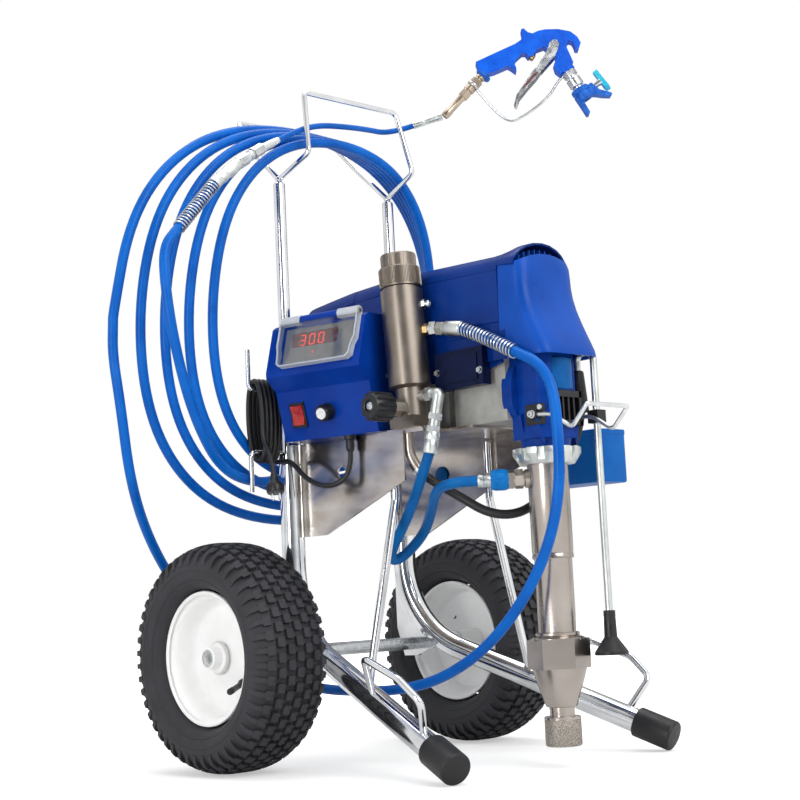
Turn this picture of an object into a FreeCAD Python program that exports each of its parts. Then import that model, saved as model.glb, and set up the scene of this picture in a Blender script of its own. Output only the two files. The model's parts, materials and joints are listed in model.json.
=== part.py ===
import FreeCAD, Part
import Sketcher
import math
import os

# Airless paint sprayer on a two-wheeled cart. Millimetres, +Z up, the front is -Y,
# the axle runs along X. Places in the text below are measured from the middle of the
# axle line, with Z from the floor. The whole part is then moved so that its origin is
# the middle of its base, the spray gun counted and the hoses and the cord left out.

os.makedirs("parts", exist_ok=True)
Vector = FreeCAD.Vector
Rotation = FreeCAD.Rotation
UP = Vector(0, 0, 1)

doc = FreeCAD.newDocument("PaintSprayer")
sheet = doc.addObject("Spreadsheet::Sheet", "Sizes")

# Driving sizes: millimetres, degrees and counts
DRIVING = {
    # Wheels and axle
    "TyreRadius": 165, "TyreWidth": 124, "TyreWall": 13, "TreadBand": 13, "TreadDepth": 5, "TreadGap": 4, "TreadLugs": 36,
    "RimRadius": 93, "RimBarrel": 80, "RimWidth": 78, "RimSheet": 3,
    "WheelTrack": 500, "HubRadius": 18, "HubOut": 20, "HubIn": 42,
    "AxleRadius": 10, "AxleOverhang": 30,
    "RunningGap": 0.05, "SeatGap": 0.3, "WasherRadius": 20, "WasherSheet": 2,
    # Cart frame
    "TubeRadius": 17.5, "TubeWall": 2, "UprightX": 115, "UprightY": 8, "FrameTop": 590,
    "BendHeight": 192, "BendRadius": 150, "FootX": 222.7, "FootReach": 427,
    "CapRadius": 22, "CapLength": 60, "CapWall": 4,
    "HandleRadius": 9, "HandleWall": 1.5, "HandleTop": 889, "HandleSunk": 110,
    "GussetSheet": 6, "RackRodRadius": 4, "RackBend": 10,
    "StrutRadius": 6, "StrutY": -205, "StrutBend": 40, "RailRadius": 5, "RailBend": 14,
    "WrapRadius": 3.5, "WrapReach": 190, "WrapHigh": 560, "WrapLow": 465, "WrapEnd": 60,
    # Plates
    "PlateX": 105, "PlateSheet": 3, "PlateLow": 336, "PlateTop": 500, "PlateFront": 236,
    "PlateStep": 403, "ShelfTop": 477, "ShelfFront": 275, "TraySheet": 4, "TrayFront": 330,
    # Pump and drive
    "PumpY": -412, "PumpRadius": 28.5, "SleeveRadius": 26, "PumpTop": 447, "NutTop": 433,
    "NutHeight": 22, "NutRadius": 47.5, "NutSlots": 12, "StepHeight": 282, "SleeveFoot": 173,
    "PistonRadius": 18, "RodRadius": 10, "PackingFoot": 406, "ChamberFoot": 190,
    "PistonFoot": 330, "PistonLength": 30,
    "HexFlats": 77, "HexFoot": 130, "ConeFoot": 80, "NeckRadius": 18.5, "StrainerTop": 68,
    "StrainerRadius": 25, "StrainerFoot": 28, "StrainerWall": 2,
    "OutletHeight": 393, "OutletTurn": 135, "OutletLength": 76,
    "HousingHalf": 38, "HousingFront": 36, "HousingBack": 26, "HousingWall": 7,
    "HousingTop": 606, "CrankHeight": 580, "CrankThrow": 13, "CrankDisc": 22, "CrankPin": 6,
    "ShaftRadius": 12, "LinkDrop": 55, "LinkThick": 14,
    "MotorRadius": 50, "MotorHeight": 612, "MotorRear": 45, "MotorFront": 285,
    "CoverHalf": 60, "CoverWall": 3, "CoverFoot": 541, "CoverTop": 708, "CoverRear": 30,
    "CoverFront": 392, "NoseReach": 473, "NoseFoot": 557, "VentPitch": 14, "VentRib": 2,
    "HookReach": 525, "HookRadius": 3, "HookHeight": 477, "HookPlate": 2.5,
    "DrainTubeX": 51, "DrainTubeY": -463, "DrainTubeRadius": 5, "DrainTubeTop": 570,
    "NeckBend": 15, "DrainFoot": 147, "ConeRadius": 23, "DrainHoseRadius": 6.5,
    # Filter manifold
    "FilterX": -92, "FilterY": -245, "FilterLean": 3.7,
    "FilterRadius": 30.5, "FilterBlock": 22, "BlockHeight": 56, "FilterHeight": 201,
    "FilterCapHeight": 54, "CapRibs": 24, "PrimeHeight": 28, "PrimeKnobRadius": 21,
    "PrimeKnobLength": 40, "PrimeReach": 44, "PrimeStem": 5,
    # Control box
    "BoxX": -190, "BoxY": -35, "BoxTurn": -78, "BoxWidth": 172, "BoxDepth": 88,
    "BoxTop": 650, "RidgeRise": 28, "PanelIn": 22, "PanelTop": 550,
    "PanelFoot": 47, "FaceIn": 20, "LidStart": 20, "LidWidth": 132, "LidHeight": 62,
    "LidDepth": 9, "LidWall": 2, "HingeRadius": 6, "HingePin": 2.5,
    "SwitchAt": 35, "SwitchWidth": 16, "SwitchHeight": 26, "KnobAt": 90, "KnobRadius": 13,
    "KnobLength": 20, "KnobStem": 4, "ControlHeight": 514, "GlandAt": 113, "GlandIn": 38,
    "GlandRadius": 8.5, "GlandLength": 24,
    "ToolboxHeight": 77, "ToolboxFoot": 388, "ToolboxWidth": 65, "ToolboxFront": 419,
    "ToolboxLength": 119,
    # Hoses, cords and gun
    "HoseRadius": 7.5, "WhipRadius": 4.5, "LinkHoseRadius": 7, "CordRadius": 3.8,
    "CoilTurns": 5, "CordTurns": 5, "CordPitch": 8.2, "FerruleRadius": 9,
    "GunThick": 26, "GunReach": 394.5, "GunX": 323, "GunY": -196, "GunZ": 1141,
    "GunRoll": 56, "ViewTurn": -43.35,
}
for row, (word, number) in enumerate(DRIVING.items(), start=1):
    sheet.set(f"A{row}", word)
    sheet.set(f"B{row}", str(number))
    sheet.setAlias(f"B{row}", word)
doc.recompute()


def size(word):
    """A driving size by its name."""
    return float(getattr(sheet, word))


def value(text):
    """The number that an expression of driving sizes gives."""
    return float(sheet.evalExpression(text))


def expression(text):
    """Put the sheet's name before every driving size in a short expression."""
    words = text.replace("(", " ( ").replace(")", " ) ").split()
    joined = " ".join("Sizes." + word if word in DRIVING else word for word in words)
    return joined.replace("cos (", "cos(").replace("sin (", "sin(").replace("atan (", "atan(")


AXLE_X = "( ( WheelTrack + TyreWidth ) / 2 - GunReach ) / 2"
AXLE_Y = "( HookReach + HookRadius - TyreRadius ) / 2"
axle_x = value(expression(AXLE_X))
axle_y = value(expression(AXLE_Y))
axle_z = size("TyreRadius")
HOME = FreeCAD.Placement(Vector(axle_x, axle_y, 0), Rotation())


def place(piece, x="0", y="0", z="0", turn=None):
    """Seat a piece at a place given by expressions, turned first if asked."""
    if turn:
        piece.Placement = FreeCAD.Placement(Vector(), turn)
    piece.setExpression("Placement.Base.x", expression(f"( {x} ) + {AXLE_X}"))
    piece.setExpression("Placement.Base.y", expression(f"( {y} ) + {AXLE_Y}"))
    piece.setExpression("Placement.Base.z", expression(z))
    return piece


def keep(label, shape):
    """A piece with a bent or cut shape that is worked out from the sizes."""
    piece = doc.addObject("Part::Feature", label)
    piece.Label = label
    piece.Shape = shape
    piece.Placement = HOME
    return piece


def new_body(label):
    body = doc.addObject("PartDesign::Body", label)
    body.Label = label
    return body


def plane(body, role):
    return next(part for part in body.Origin.OriginFeatures if part.Role == role)


def new_sketch(body, role, offset="0"):
    """A sketch on one of the body's own planes, moved along its normal."""
    sketch = body.newObject("Sketcher::SketchObject", body.Name + "_sketch")
    sketch.AttachmentSupport = [(plane(body, role), "")]
    sketch.MapMode = "FlatFace"
    sketch.setExpression("AttachmentOffset.Base.z", expression(offset))
    return sketch


def outline(sketch, corners):
    """Close a polygon through corners, each held by two bound distances."""
    texts = [(expression(across), expression(up)) for across, up in corners]
    spots = [Vector(value(across), value(up), 0) for across, up in texts]
    first = sketch.GeometryCount
    count = len(spots)
    for index in range(count):
        sketch.addGeometry(Part.LineSegment(spots[index], spots[(index + 1) % count]))
    for index in range(count):
        joint = (first + index, 2, first + (index + 1) % count, 1)
        sketch.addConstraint(Sketcher.Constraint("Coincident", *joint))
    for index, (across, up) in enumerate(texts):
        for kind, text in (("DistanceX", across), ("DistanceY", up)):
            rule = Sketcher.Constraint(kind, -1, 1, first + index, 1, value(text))
            sketch.setExpression(f"Constraints[{sketch.addConstraint(rule)}]", text)


def circle(sketch, across, up, radius):
    """A circle with its centre and radius bound."""
    texts = [expression(text) for text in (across, up, radius)]
    centre = Vector(value(texts[0]), value(texts[1]), 0)
    item = sketch.addGeometry(Part.Circle(centre, UP, value(texts[2])))
    rules = [
        Sketcher.Constraint("DistanceX", -1, 1, item, 3, centre.x),
        Sketcher.Constraint("DistanceY", -1, 1, item, 3, centre.y),
        Sketcher.Constraint("Radius", item, value(texts[2])),
    ]
    for rule, text in zip(rules, texts):
        sketch.setExpression(f"Constraints[{sketch.addConstraint(rule)}]", text)


def feature(body, kind, sketch, **settings):
    """A PartDesign feature made from a sketch; its numbers may be expressions."""
    item = body.newObject("PartDesign::" + kind, body.Name + "_" + kind)
    item.Profile = sketch
    for name, setting in settings.items():
        if isinstance(setting, str) and name in ("Length", "Length2"):
            item.setExpression(name, expression(setting))
        else:
            setattr(item, name, setting)
    return item


def turned(label, corners, axis="V_Axis", role="XZ_Plane"):
    """A turned piece: a closed half profile swept once round the sketch's axis."""
    body = new_body(label)
    sketch = new_sketch(body, role)
    outline(sketch, corners)
    feature(body, "Revolution", sketch, ReferenceAxis=(sketch, [axis]), Angle=360)
    doc.recompute()
    return body


def pattern(body, cut, count, axis="Z_Axis"):
    """Repeat a feature evenly round an axis of the body."""
    ring = body.newObject("PartDesign::PolarPattern", body.Name + "_ring")
    ring.Originals = [cut]
    ring.Axis = (plane(body, axis), [""])
    ring.Angle = 360
    ring.setExpression("Occurrences", expression(count))
    body.Tip = ring
    return ring


def smooth(body, radius, chooser):
    """Round the chosen edges of the body's last feature."""
    doc.recompute()
    last = body.Tip
    names = [f"Edge{n}" for n, edge in enumerate(last.Shape.Edges, start=1) if chooser(edge)]
    item = body.newObject("PartDesign::Fillet", body.Name + "_round")
    item.Base = (last, names)
    item.setExpression("Radius", expression(radius))
    doc.recompute()
    return item


def rod(label, radius, length, x="0", y="0", z="0", turn=None, bore=None):
    """A round bar or, with a bore, a ring."""
    bar = doc.addObject("Part::Cylinder", label + ("_bar" if bore else ""))
    bar.setExpression("Radius", expression(radius))
    bar.setExpression("Height", expression(length))
    piece = bar
    if bore:
        hole = doc.addObject("Part::Cylinder", label + "_bore")
        hole.setExpression("Radius", expression(bore))
        hole.setExpression("Height", expression(length))
        piece = doc.addObject("Part::Cut", label)
        piece.Base = bar
        piece.Tool = hole
    piece.Label = label
    return place(piece, x, y, z, turn)


def both_sides(label, pieces, middle=()):
    """The pieces of one side and their mirror images, as separate solids of one node."""
    mirrored = []
    for index, piece in enumerate(pieces):
        copy = doc.addObject("Part::Mirroring", f"{label}_mirror{index}")
        copy.Source = piece
        copy.Normal = (1, 0, 0)
        copy.setExpression("Base.x", expression(AXLE_X))
        mirrored.append(copy)
    group = doc.addObject("Part::Compound", label)
    group.Label = label
    group.Links = list(middle) + list(pieces) + mirrored
    return group


def block(label, x, y, z):
    """A box between pairs of expressions along each direction."""
    item = doc.addObject("Part::Box", label)
    item.Label = label
    for name, (low, high) in (("Length", x), ("Width", y), ("Height", z)):
        item.setExpression(name, expression(f"( {high} ) - ( {low} )"))
    return place(item, x[0], y[0], z[0])


def fuse(label, pieces):
    item = doc.addObject("Part::MultiFuse", label)
    item.Label = label
    item.Shapes = pieces
    return item


def group(label, pieces):
    item = doc.addObject("Part::Compound", label)
    item.Label = label
    item.Links = pieces
    return item


def cut_by(label, base, tools):
    """A piece trimmed by the shapes that it seats against."""
    item = doc.addObject("Part::Cut", label)
    item.Label = label
    item.Base = base
    item.Tool = tools
    return item


def corner_route(points, radius=None):
    """Straight runs joined by tangent arcs; without a radius each arc is as large as fits."""
    edges = []
    radii = []
    here = points[0]
    for before, corner, after in zip(points, points[1:], points[2:]):
        back = (before - corner).normalize()
        ahead = (after - corner).normalize()
        turn = math.pi - back.getAngle(ahead)
        run = min((before - corner).Length, (after - corner).Length)
        bend = radius or 0.45 * run / math.tan(turn / 2)
        setback = bend * math.tan(turn / 2)
        inward = (back + ahead).normalize()
        start = corner + back * setback
        end = corner + ahead * setback
        middle = corner + inward * (bend / math.cos(turn / 2) - bend)
        edges.append(Part.LineSegment(here, start).toShape())
        edges.append(Part.Arc(start, middle, end).toShape())
        radii.append(bend)
        here = end
    edges.append(Part.LineSegment(here, points[-1]).toShape())
    return Part.Wire(edges), radii


def ring_at(point, direction, radius):
    return Part.Wire(Part.Circle(point, direction, radius).toShape())


def tube_along(path, radius, bore=0):
    """A round tube or bar along a path of runs and arcs."""
    start = path.Edges[0]
    point = start.valueAt(start.FirstParameter)
    direction = start.tangentAt(start.FirstParameter)
    solid = path.makePipeShell([ring_at(point, direction, radius)], True, False)
    if bore:
        solid = solid.cut(path.makePipeShell([ring_at(point, direction, bore)], True, False))
    return solid


def report_tube(label, solid, path, radius, radii):
    """Print a tube's bend radii and how its volume compares with section times length."""
    ideal = math.pi * radius ** 2 * path.Length
    print(f"{label}: length {path.Length:.0f}, least radius {min(radii):.0f},",
          f"volume ratio {solid.Volume / ideal:.4f}")


def mirror_x(shape):
    return shape.mirror(Vector(), Vector(1, 0, 0))


# Wheels
def tread_groove(middle):
    """The section of one groove that runs round the crown of a tyre."""
    return [(f"{middle} + TreadGap / 2", "TyreRadius"), (f"{middle} + TreadGap / 2", "TyreRadius - TreadDepth"),
            (f"{middle} - TreadGap / 2", "TyreRadius - TreadDepth"), (f"{middle} - TreadGap / 2", "TyreRadius")]


def tyre(label, side):
    """A tubeless tyre: an open horseshoe section with square tread lugs at its edges."""
    half = "TyreWidth / 2"
    section = [
        ("0 - RimWidth / 2", "RimBarrel"), ("0 - RimWidth / 2 + TyreWall", "RimBarrel"),
        ("0 - RimWidth / 2 + TyreWall", "RimRadius"),
        (f"0 - {half} + TyreWall", "RimRadius + 2 * TyreWall"),
        (f"0 - {half} + TyreWall", "TyreRadius - 2 * TyreWall"),
        (f"0 - {half} + 2 * TyreWall", "TyreRadius - TyreWall"),
        (f"{half} - 2 * TyreWall", "TyreRadius - TyreWall"),
        (f"{half} - TyreWall", "TyreRadius - 2 * TyreWall"),
        (f"{half} - TyreWall", "RimRadius + 2 * TyreWall"),
        ("RimWidth / 2 - TyreWall", "RimRadius"),
        ("RimWidth / 2 - TyreWall", "RimBarrel"), ("RimWidth / 2", "RimBarrel"),
        ("RimWidth / 2", "RimRadius + 3"),
        (half, "RimRadius + 2 * TyreWall + 3"), (half, "TyreRadius - 2 * TreadBand"),
        (f"{half} - TreadBand / 2", "TyreRadius - TreadBand"),
        (f"{half} - 1.5 * TreadBand", "TyreRadius - TreadBand / 3"),
        (f"{half} - 3 * TreadBand", "TyreRadius"),
        *tread_groove("14"), *tread_groove("0"), *tread_groove("0 - 14"),
        (f"3 * TreadBand - {half}", "TyreRadius"),
        (f"1.5 * TreadBand - {half}", "TyreRadius - TreadBand / 3"),
        (f"TreadBand / 2 - {half}", "TyreRadius - TreadBand"),
        (f"0 - {half}", "TyreRadius - 2 * TreadBand"),
        (f"0 - {half}", "RimRadius + 2 * TyreWall + 3"),
        ("0 - RimWidth / 2", "RimRadius + 3"),
    ]
    body = turned(label, section, "H_Axis")
    sketch = new_sketch(body, "XZ_Plane")
    lug_side = [(f"{half} + 4", "TyreRadius - 2 * TreadBand"), (f"{half} - TreadDepth", "TyreRadius - 2 * TreadBand"),
                (f"{half} - TreadBand / 2 - TreadDepth", "TyreRadius - TreadBand - TreadDepth"),
                (f"{half} - 3 * TreadBand", "TyreRadius - TreadDepth")]
    outline(sketch, lug_side + [(f"0 - ( {across} )", up) for across, up in reversed(lug_side)]
            + [(f"0 - {half} - 4", "TyreRadius + 4"), (f"{half} + 4", "TyreRadius + 4")])
    gap = feature(body, "Pocket", sketch, Length="TreadGap", Midplane=True)
    pattern(body, gap, "TreadLugs", "X_Axis")
    return place(body, f"{side} * WheelTrack / 2", "0", "TyreRadius")


def rim(label, side):
    """A pressed steel rim: flanged barrel, dished disc and hub tube."""
    bore = "AxleRadius + RunningGap"
    inner = "RimBarrel - RimSheet"
    lip = "( RimWidth / 2 + RimSheet )"
    out = "-1" if side > 0 else "1"
    section = [
        ("0 - HubOut", bore), ("HubIn", bore), ("HubIn", "HubRadius"), ("0 - 2", "HubRadius"),
        ("0 - 6", "HubRadius + 24"), ("6", "RimBarrel - 14"), ("10", inner), (lip, inner),
        (lip, "RimRadius"), ("RimWidth / 2", "RimRadius"), ("RimWidth / 2", "RimBarrel"),
        ("0 - RimWidth / 2", "RimBarrel"), ("0 - RimWidth / 2", "RimRadius"),
        (f"0 - {lip}", "RimRadius"), (f"0 - {lip}", inner), ("6", inner),
        ("2", "RimBarrel - 14"), ("0 - 10", "HubRadius + 24"), ("0 - 6", "HubRadius"),
        ("0 - HubOut", "HubRadius"),
    ]
    section = [(f"{out} * ( {across} )", up) for across, up in section]
    body = turned(label, section, "H_Axis")
    return place(body, f"{side} * WheelTrack / 2", "0", "TyreRadius")


ALONG_X = Rotation(Vector(0, 1, 0), 90)
axle_half = "( WheelTrack / 2 + AxleOverhang )"
axle_bar = rod("axle_bar", "AxleRadius", f"2 * {axle_half}", f"0 - {axle_half}", "0", "TyreRadius",
               ALONG_X)
washer_at = "WheelTrack / 2 + HubOut + SeatGap"
washer = rod("axle_washer", "WasherRadius", "WasherSheet", washer_at, "0", "TyreRadius", ALONG_X,
             "AxleRadius")
clip = rod("axle_clip", "AxleRadius + 4", "WasherSheet", f"{washer_at} + WasherSheet",
           "0", "TyreRadius", ALONG_X, "AxleRadius")
collar = rod("axle_collar", "WasherRadius - 4", "WasherSheet",
             "WheelTrack / 2 - HubIn - SeatGap - WasherSheet", "0", "TyreRadius",
             ALONG_X, "AxleRadius")
nodes = [
    tyre("tyre_left", -1), tyre("tyre_right", 1), rim("rim_left", -1), rim("rim_right", 1),
    both_sides("axle", [washer, clip, collar], [axle_bar]),
]


# Cart frame
upright = Vector(size("UprightX"), size("UprightY"), 0)
bend = upright + UP * size("BendHeight")
foot_height = 0
for _ in range(6):
    leg_run = math.hypot(size("FootX") - size("UprightX"), size("FootReach") + size("UprightY"))
    leg_slope = math.atan2(size("BendHeight") - foot_height, leg_run)
    foot_height = size("CapRadius") * math.cos(leg_slope) - size("CapWall") / 2 * math.sin(leg_slope)
foot = Vector(size("FootX"), -size("FootReach"), foot_height)
leg = (foot - bend).normalize()
leg_end = foot - leg * (size("CapWall") + size("SeatGap"))
frame_path, frame_radii = corner_route([upright + UP * size("FrameTop"), bend, leg_end],
                                       size("BendRadius"))
tube_solid = tube_along(frame_path, size("TubeRadius"))


def flat_plate(x, thickness, corners):
    """A flat plate that stands across X, from corners in the YZ plane."""
    points = [Vector(x - thickness / 2, across, up) for across, up in corners]
    return Part.Face(Part.makePolygon(points + points[:1])).extrude(Vector(thickness, 0, 0))


def frame_side():
    """One bent cart tube with the welded gusset that carries the axle."""
    bore = tube_along(frame_path, size("TubeRadius") - size("TubeWall"))
    back = size("UprightY") + size("TubeRadius") + 4
    hub = size("AxleRadius") + 9
    corners = [
        (size("UprightY"), axle_z + 135), (back, axle_z + 125), (back, axle_z + 25),
        (hub - 4, axle_z - hub), (4 - hub, axle_z - hub), (-58, axle_z - 2), (-40, axle_z + 30),
    ]
    gusset = flat_plate(size("UprightX"), size("GussetSheet"), corners)
    hole = Part.makeCylinder(size("AxleRadius") + size("SeatGap"), 2 * size("GussetSheet"),
                             Vector(size("UprightX") - size("GussetSheet"), 0, axle_z),
                             Vector(1, 0, 0))
    return tube_solid.fuse(gusset).cut(bore).cut(hole)


frame_shape = frame_side()
nodes.append(keep("frame_right", frame_shape))
nodes.append(keep("frame_left", mirror_x(frame_shape)))

cap = turned("foot_cap", [
    ("0", "0"), ("CapRadius - CapWall / 2", "0"), ("CapRadius", "CapWall / 2"),
    ("CapRadius", "CapLength"), ("TubeRadius", "CapLength"), ("TubeRadius", "CapWall"),
    ("0", "CapWall")])
cap.Placement = FreeCAD.Placement(foot + HOME.Base, Rotation(UP, leg * -1))
nodes.append(both_sides("foot_caps", [cap]))

handle = turned("handle_tube", [
    ("HandleRadius - HandleWall", "FrameTop - HandleSunk"), ("HandleRadius", "FrameTop - HandleSunk"),
    ("HandleRadius", "FrameTop - 30"), ("TubeRadius - TubeWall", "FrameTop - 30"),
    ("TubeRadius - TubeWall", "FrameTop"), ("TubeRadius", "FrameTop"),
    ("TubeRadius", "FrameTop + 4"), ("HandleRadius", "FrameTop + 9"),
    ("HandleRadius", "HandleTop - 2"), ("HandleRadius - 2", "HandleTop"), ("0", "HandleTop"),
    ("0", "HandleTop - 4"), ("HandleRadius - HandleWall", "HandleTop - 4")])
place(handle, "UprightX", "UprightY")
nodes.append(both_sides("handle_tubes", [handle]))


def mirrored_route(half):
    """A route that starts and ends at matching points left and right."""
    return half + [Vector(-point.x, point.y, point.z) for point in reversed(half)]


rack_seat = Vector(size("UprightX"), size("UprightY"), size("HandleTop") + 1.4 * size("RackRodRadius"))
front_hoop = [rack_seat, Vector(110, -61, 923), Vector(97, -40, 1026)]
rear_hoop = [rack_seat, Vector(112, 78, 960), Vector(97, 128, 1019)]
hoops = []
for hoop in (front_hoop, rear_hoop):
    hoop_path, hoop_radii = corner_route(mirrored_route(hoop), size("RackBend"))
    hoops.append(tube_along(hoop_path, size("RackRodRadius")))
rack_shape = hoops[0].fuse(hoops[1])
for side in (-1, 1):
    bead = Part.makeSphere(1.4 * size("RackRodRadius"), Vector(side * rack_seat.x, rack_seat.y, rack_seat.z))
    rack_shape = rack_shape.fuse(bead)
nodes.append(keep("hose_rack", rack_shape))


def on_leg(y):
    """The point of the leg's middle line at a given place from front to back."""
    return bend + leg * ((y - bend.y) / leg.y)


strut_inside = Vector(size("PlateX") - size("PlateSheet") / 2 - size("StrutRadius"), size("StrutY"), 0)
strut_path, strut_radii = corner_route(
    [strut_inside + UP * 467, strut_inside + UP * 380, on_leg(size("StrutY"))], size("StrutBend"))
strut = keep("strut", tube_along(strut_path, size("StrutRadius")).cut(tube_solid))
strut.Placement = HOME
nodes.append(both_sides("struts", [strut]))

rail_path, rail_radii = corner_route(
    [on_leg(-222), Vector(232, -272, 160), Vector(238, -344, 134), Vector(234, -380, 104), on_leg(-352)],
    size("RailBend"))
rail = keep("pail_rail", tube_along(rail_path, size("RailRadius")).cut(tube_solid))
nodes.append(both_sides("pail_rails", [rail]))

wrap_rods = []
for height, way in ((size("WrapHigh"), 1), (size("WrapLow"), -1)):
    reach = Vector(-size("WrapReach"), size("UprightY"), height)
    wrap_path, wrap_radii = corner_route(
        [Vector(-size("UprightX"), size("UprightY"), height), reach,
         reach + UP * (way * size("WrapEnd"))], 2.5 * size("WrapRadius"))
    wrap_rods.append(tube_along(wrap_path, size("WrapRadius")).cut(mirror_x(tube_solid)))
nodes.append(keep("cord_wrap", Part.makeCompound(wrap_rods)))


# Plates between the uprights and the drive
def side_plate(label, side, corners, extras=()):
    """A sheet steel side plate whose rear edge is trimmed to the upright."""
    body = new_body(label + "_sheet")
    sketch = new_sketch(body, "YZ_Plane", f"{side} * PlateX")
    outline(sketch, corners)
    circle(sketch, "0 - 100", "PlateLow + 90", "9")
    feature(body, "Pad", sketch, Length="PlateSheet", Midplane=True)
    for sketch_corners, foot_at in extras:
        shelf = new_sketch(body, "XY_Plane", foot_at)
        outline(shelf, sketch_corners)
        circle(shelf, "FilterX", "FilterY + 12", "9")
        feature(body, "Pad", shelf, Length="PlateSheet")
    doc.recompute()
    place(body)
    tool = keep(label + "_trim", tube_solid if side > 0 else mirror_x(tube_solid))
    return cut_by(label, body, tool)


shelf_outline = [
    ("0 - PlateX - PlateSheet / 2", "0 - 20"), ("0 - PlateX + 35", "0 - 20"),
    ("0 - PlateX + 35", "0 - ShelfFront"), ("0 - PlateX - PlateSheet / 2", "0 - ShelfFront"),
]
nodes.append(side_plate("side_plate_left", -1, [
    ("UprightY", "PlateLow"), ("0 - 60", "PlateLow"), ("0 - PlateFront", "PlateStep"),
    ("0 - PlateFront", "ShelfTop"), ("UprightY", "ShelfTop")],
    [(shelf_outline, "ShelfTop - PlateSheet")]))
nodes.append(side_plate("side_plate_right", 1, [
    ("UprightY", "PlateLow"), ("0 - 60", "PlateLow"), ("0 - 330", "PlateLow + 116"),
    ("0 - 345", "PlateLow + 134"), ("0 - 345", "PlateTop"), ("UprightY", "PlateTop + 22")]))

TRAY_TOP = "( ShelfTop - PlateSheet )"
tray_x = ("PlateSheet / 2 - PlateX", "PlateX - PlateSheet / 2")
tray_z = (f"{TRAY_TOP} - TraySheet", TRAY_TOP)
tray_rear = block("tray_rear", tray_x, ("0 - ShelfFront", "0 - 20"), tray_z)
tray_front = block("tray_front", ("0 - CoverHalf", tray_x[1]), ("0 - TrayFront", "0 - ShelfFront"), tray_z)
tray_hole = rod("tray_hole", "9", "40", "FilterX", "FilterY + 12", "ShelfTop - 30")
nodes.append(cut_by("motor_tray", fuse("tray_whole", [tray_rear, tray_front]), tray_hole))

box = new_body("toolbox")
sketch = new_sketch(box, "XY_Plane", "ToolboxFoot")
toolbox_left = "PlateX + PlateSheet / 2"
toolbox_right = f"{toolbox_left} + ToolboxWidth"
outline(sketch, [(toolbox_left, "0 - ToolboxFront"), (toolbox_right, "0 - ToolboxFront"),
                 (toolbox_right, "ToolboxLength - ToolboxFront"),
                 (toolbox_left, "ToolboxLength - ToolboxFront")])
feature(box, "Pad", sketch, Length="ToolboxHeight")
sketch = new_sketch(box, "XY_Plane", "ToolboxFoot + 3")
outline(sketch, [(f"{toolbox_left} + 3", "3 - ToolboxFront"), (f"{toolbox_right} - 3", "3 - ToolboxFront"),
                 (f"{toolbox_right} - 3", "ToolboxLength - ToolboxFront - 3"),
                 (f"{toolbox_left} + 3", "ToolboxLength - ToolboxFront - 3")])
feature(box, "Pocket", sketch, Length="ToolboxHeight", Reversed=True)
doc.recompute()
nodes.append(place(box))


# Drive
ALONG_Y = Rotation(Vector(1, 0, 0), 90)


def hexagon(label, flats, length, x="0", y="0", z="0", turn=None):
    """A hexagonal bar by its width across flats."""
    item = doc.addObject("Part::Prism", label)
    item.Label = label
    item.Polygon = 6
    item.setExpression("Circumradius", expression(f"( {flats} ) / 1.732"))
    item.setExpression("Height", expression(length))
    return place(item, x, y, z, turn)


can = turned("motor_can", [
    ("0 - MotorRear", "0"), ("0 - MotorRear", "MotorRadius - 18"),
    ("0 - MotorRear - 8", "MotorRadius - 4"), ("0 - MotorRear - 22", "MotorRadius - 4"),
    ("0 - MotorRear - 22", "MotorRadius"), ("22 - MotorFront", "MotorRadius"),
    ("22 - MotorFront", "MotorRadius - 3"), ("0 - MotorFront", "MotorRadius - 3"),
    ("0 - MotorFront", "0")], "H_Axis", "YZ_Plane")
place(can, "0", "0", "MotorHeight")
feet = block("motor_feet", ("0 - 34", "34"), ("25 - MotorFront", "0 - MotorRear - 35"),
             (TRAY_TOP, "MotorHeight - 20"))
nodes.append(fuse("motor", [can, feet]))

HOUSING_BACK = "( PumpY + HousingBack )"
gears = block("gear_block", ("0 - 48", "48"), (HOUSING_BACK, "0 - MotorFront"),
              (TRAY_TOP, "MotorHeight + 38"))
lugs = block("gear_lugs", ("CoverWall - CoverHalf", "CoverHalf - CoverWall"),
             ("0 - MotorFront - 60", "0 - MotorFront - 30"), ("CoverFoot + 20", "CoverFoot + 50"))
seat = rod("gear_seat", "ShaftRadius + RunningGap", "45", "0", f"{HOUSING_BACK} + 40",
           "CrankHeight", ALONG_Y)
nodes.append(cut_by("gear_housing", fuse("gear_case", [gears, lugs]), seat))

housing = new_body("housing_casting")
sketch = new_sketch(housing, "XY_Plane", "NutTop + 12")
outline(sketch, [("0 - HousingHalf", "0 - HousingFront + 12"), ("12 - HousingHalf", "0 - HousingFront"),
                 ("HousingHalf - 12", "0 - HousingFront"), ("HousingHalf", "12 - HousingFront"),
                 ("HousingHalf", "HousingBack"), ("0 - HousingHalf", "HousingBack")])
feature(housing, "Pad", sketch, Length="HousingTop - NutTop - 12")
sketch = new_sketch(housing, "XZ_Plane")
outline(sketch, [("0", "NutTop"), ("PumpRadius + 5", "NutTop"), ("PumpRadius + 7", "NutTop + 12"),
                 ("PumpRadius + 7", "NutTop + 16"), ("0", "NutTop + 16")])
feature(housing, "Revolution", sketch, ReferenceAxis=(sketch, ["V_Axis"]), Angle=360)
sketch = new_sketch(housing, "XY_Plane", "PumpTop")
outline(sketch, [("HousingWall - HousingHalf", "HousingWall - HousingFront"),
                 ("HousingHalf - HousingWall", "HousingWall - HousingFront"),
                 ("HousingHalf - HousingWall", "HousingBack - HousingWall"),
                 ("HousingWall - HousingHalf", "HousingBack - HousingWall")])
feature(housing, "Pocket", sketch, Length="HousingTop - PumpTop", Reversed=True)
sketch = new_sketch(housing, "XY_Plane", "NutTop")
circle(sketch, "0", "0", "PumpRadius")
feature(housing, "Pocket", sketch, Length="PumpTop - NutTop", Reversed=True)
sketch = new_sketch(housing, "XZ_Plane", "HousingFront")
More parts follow.
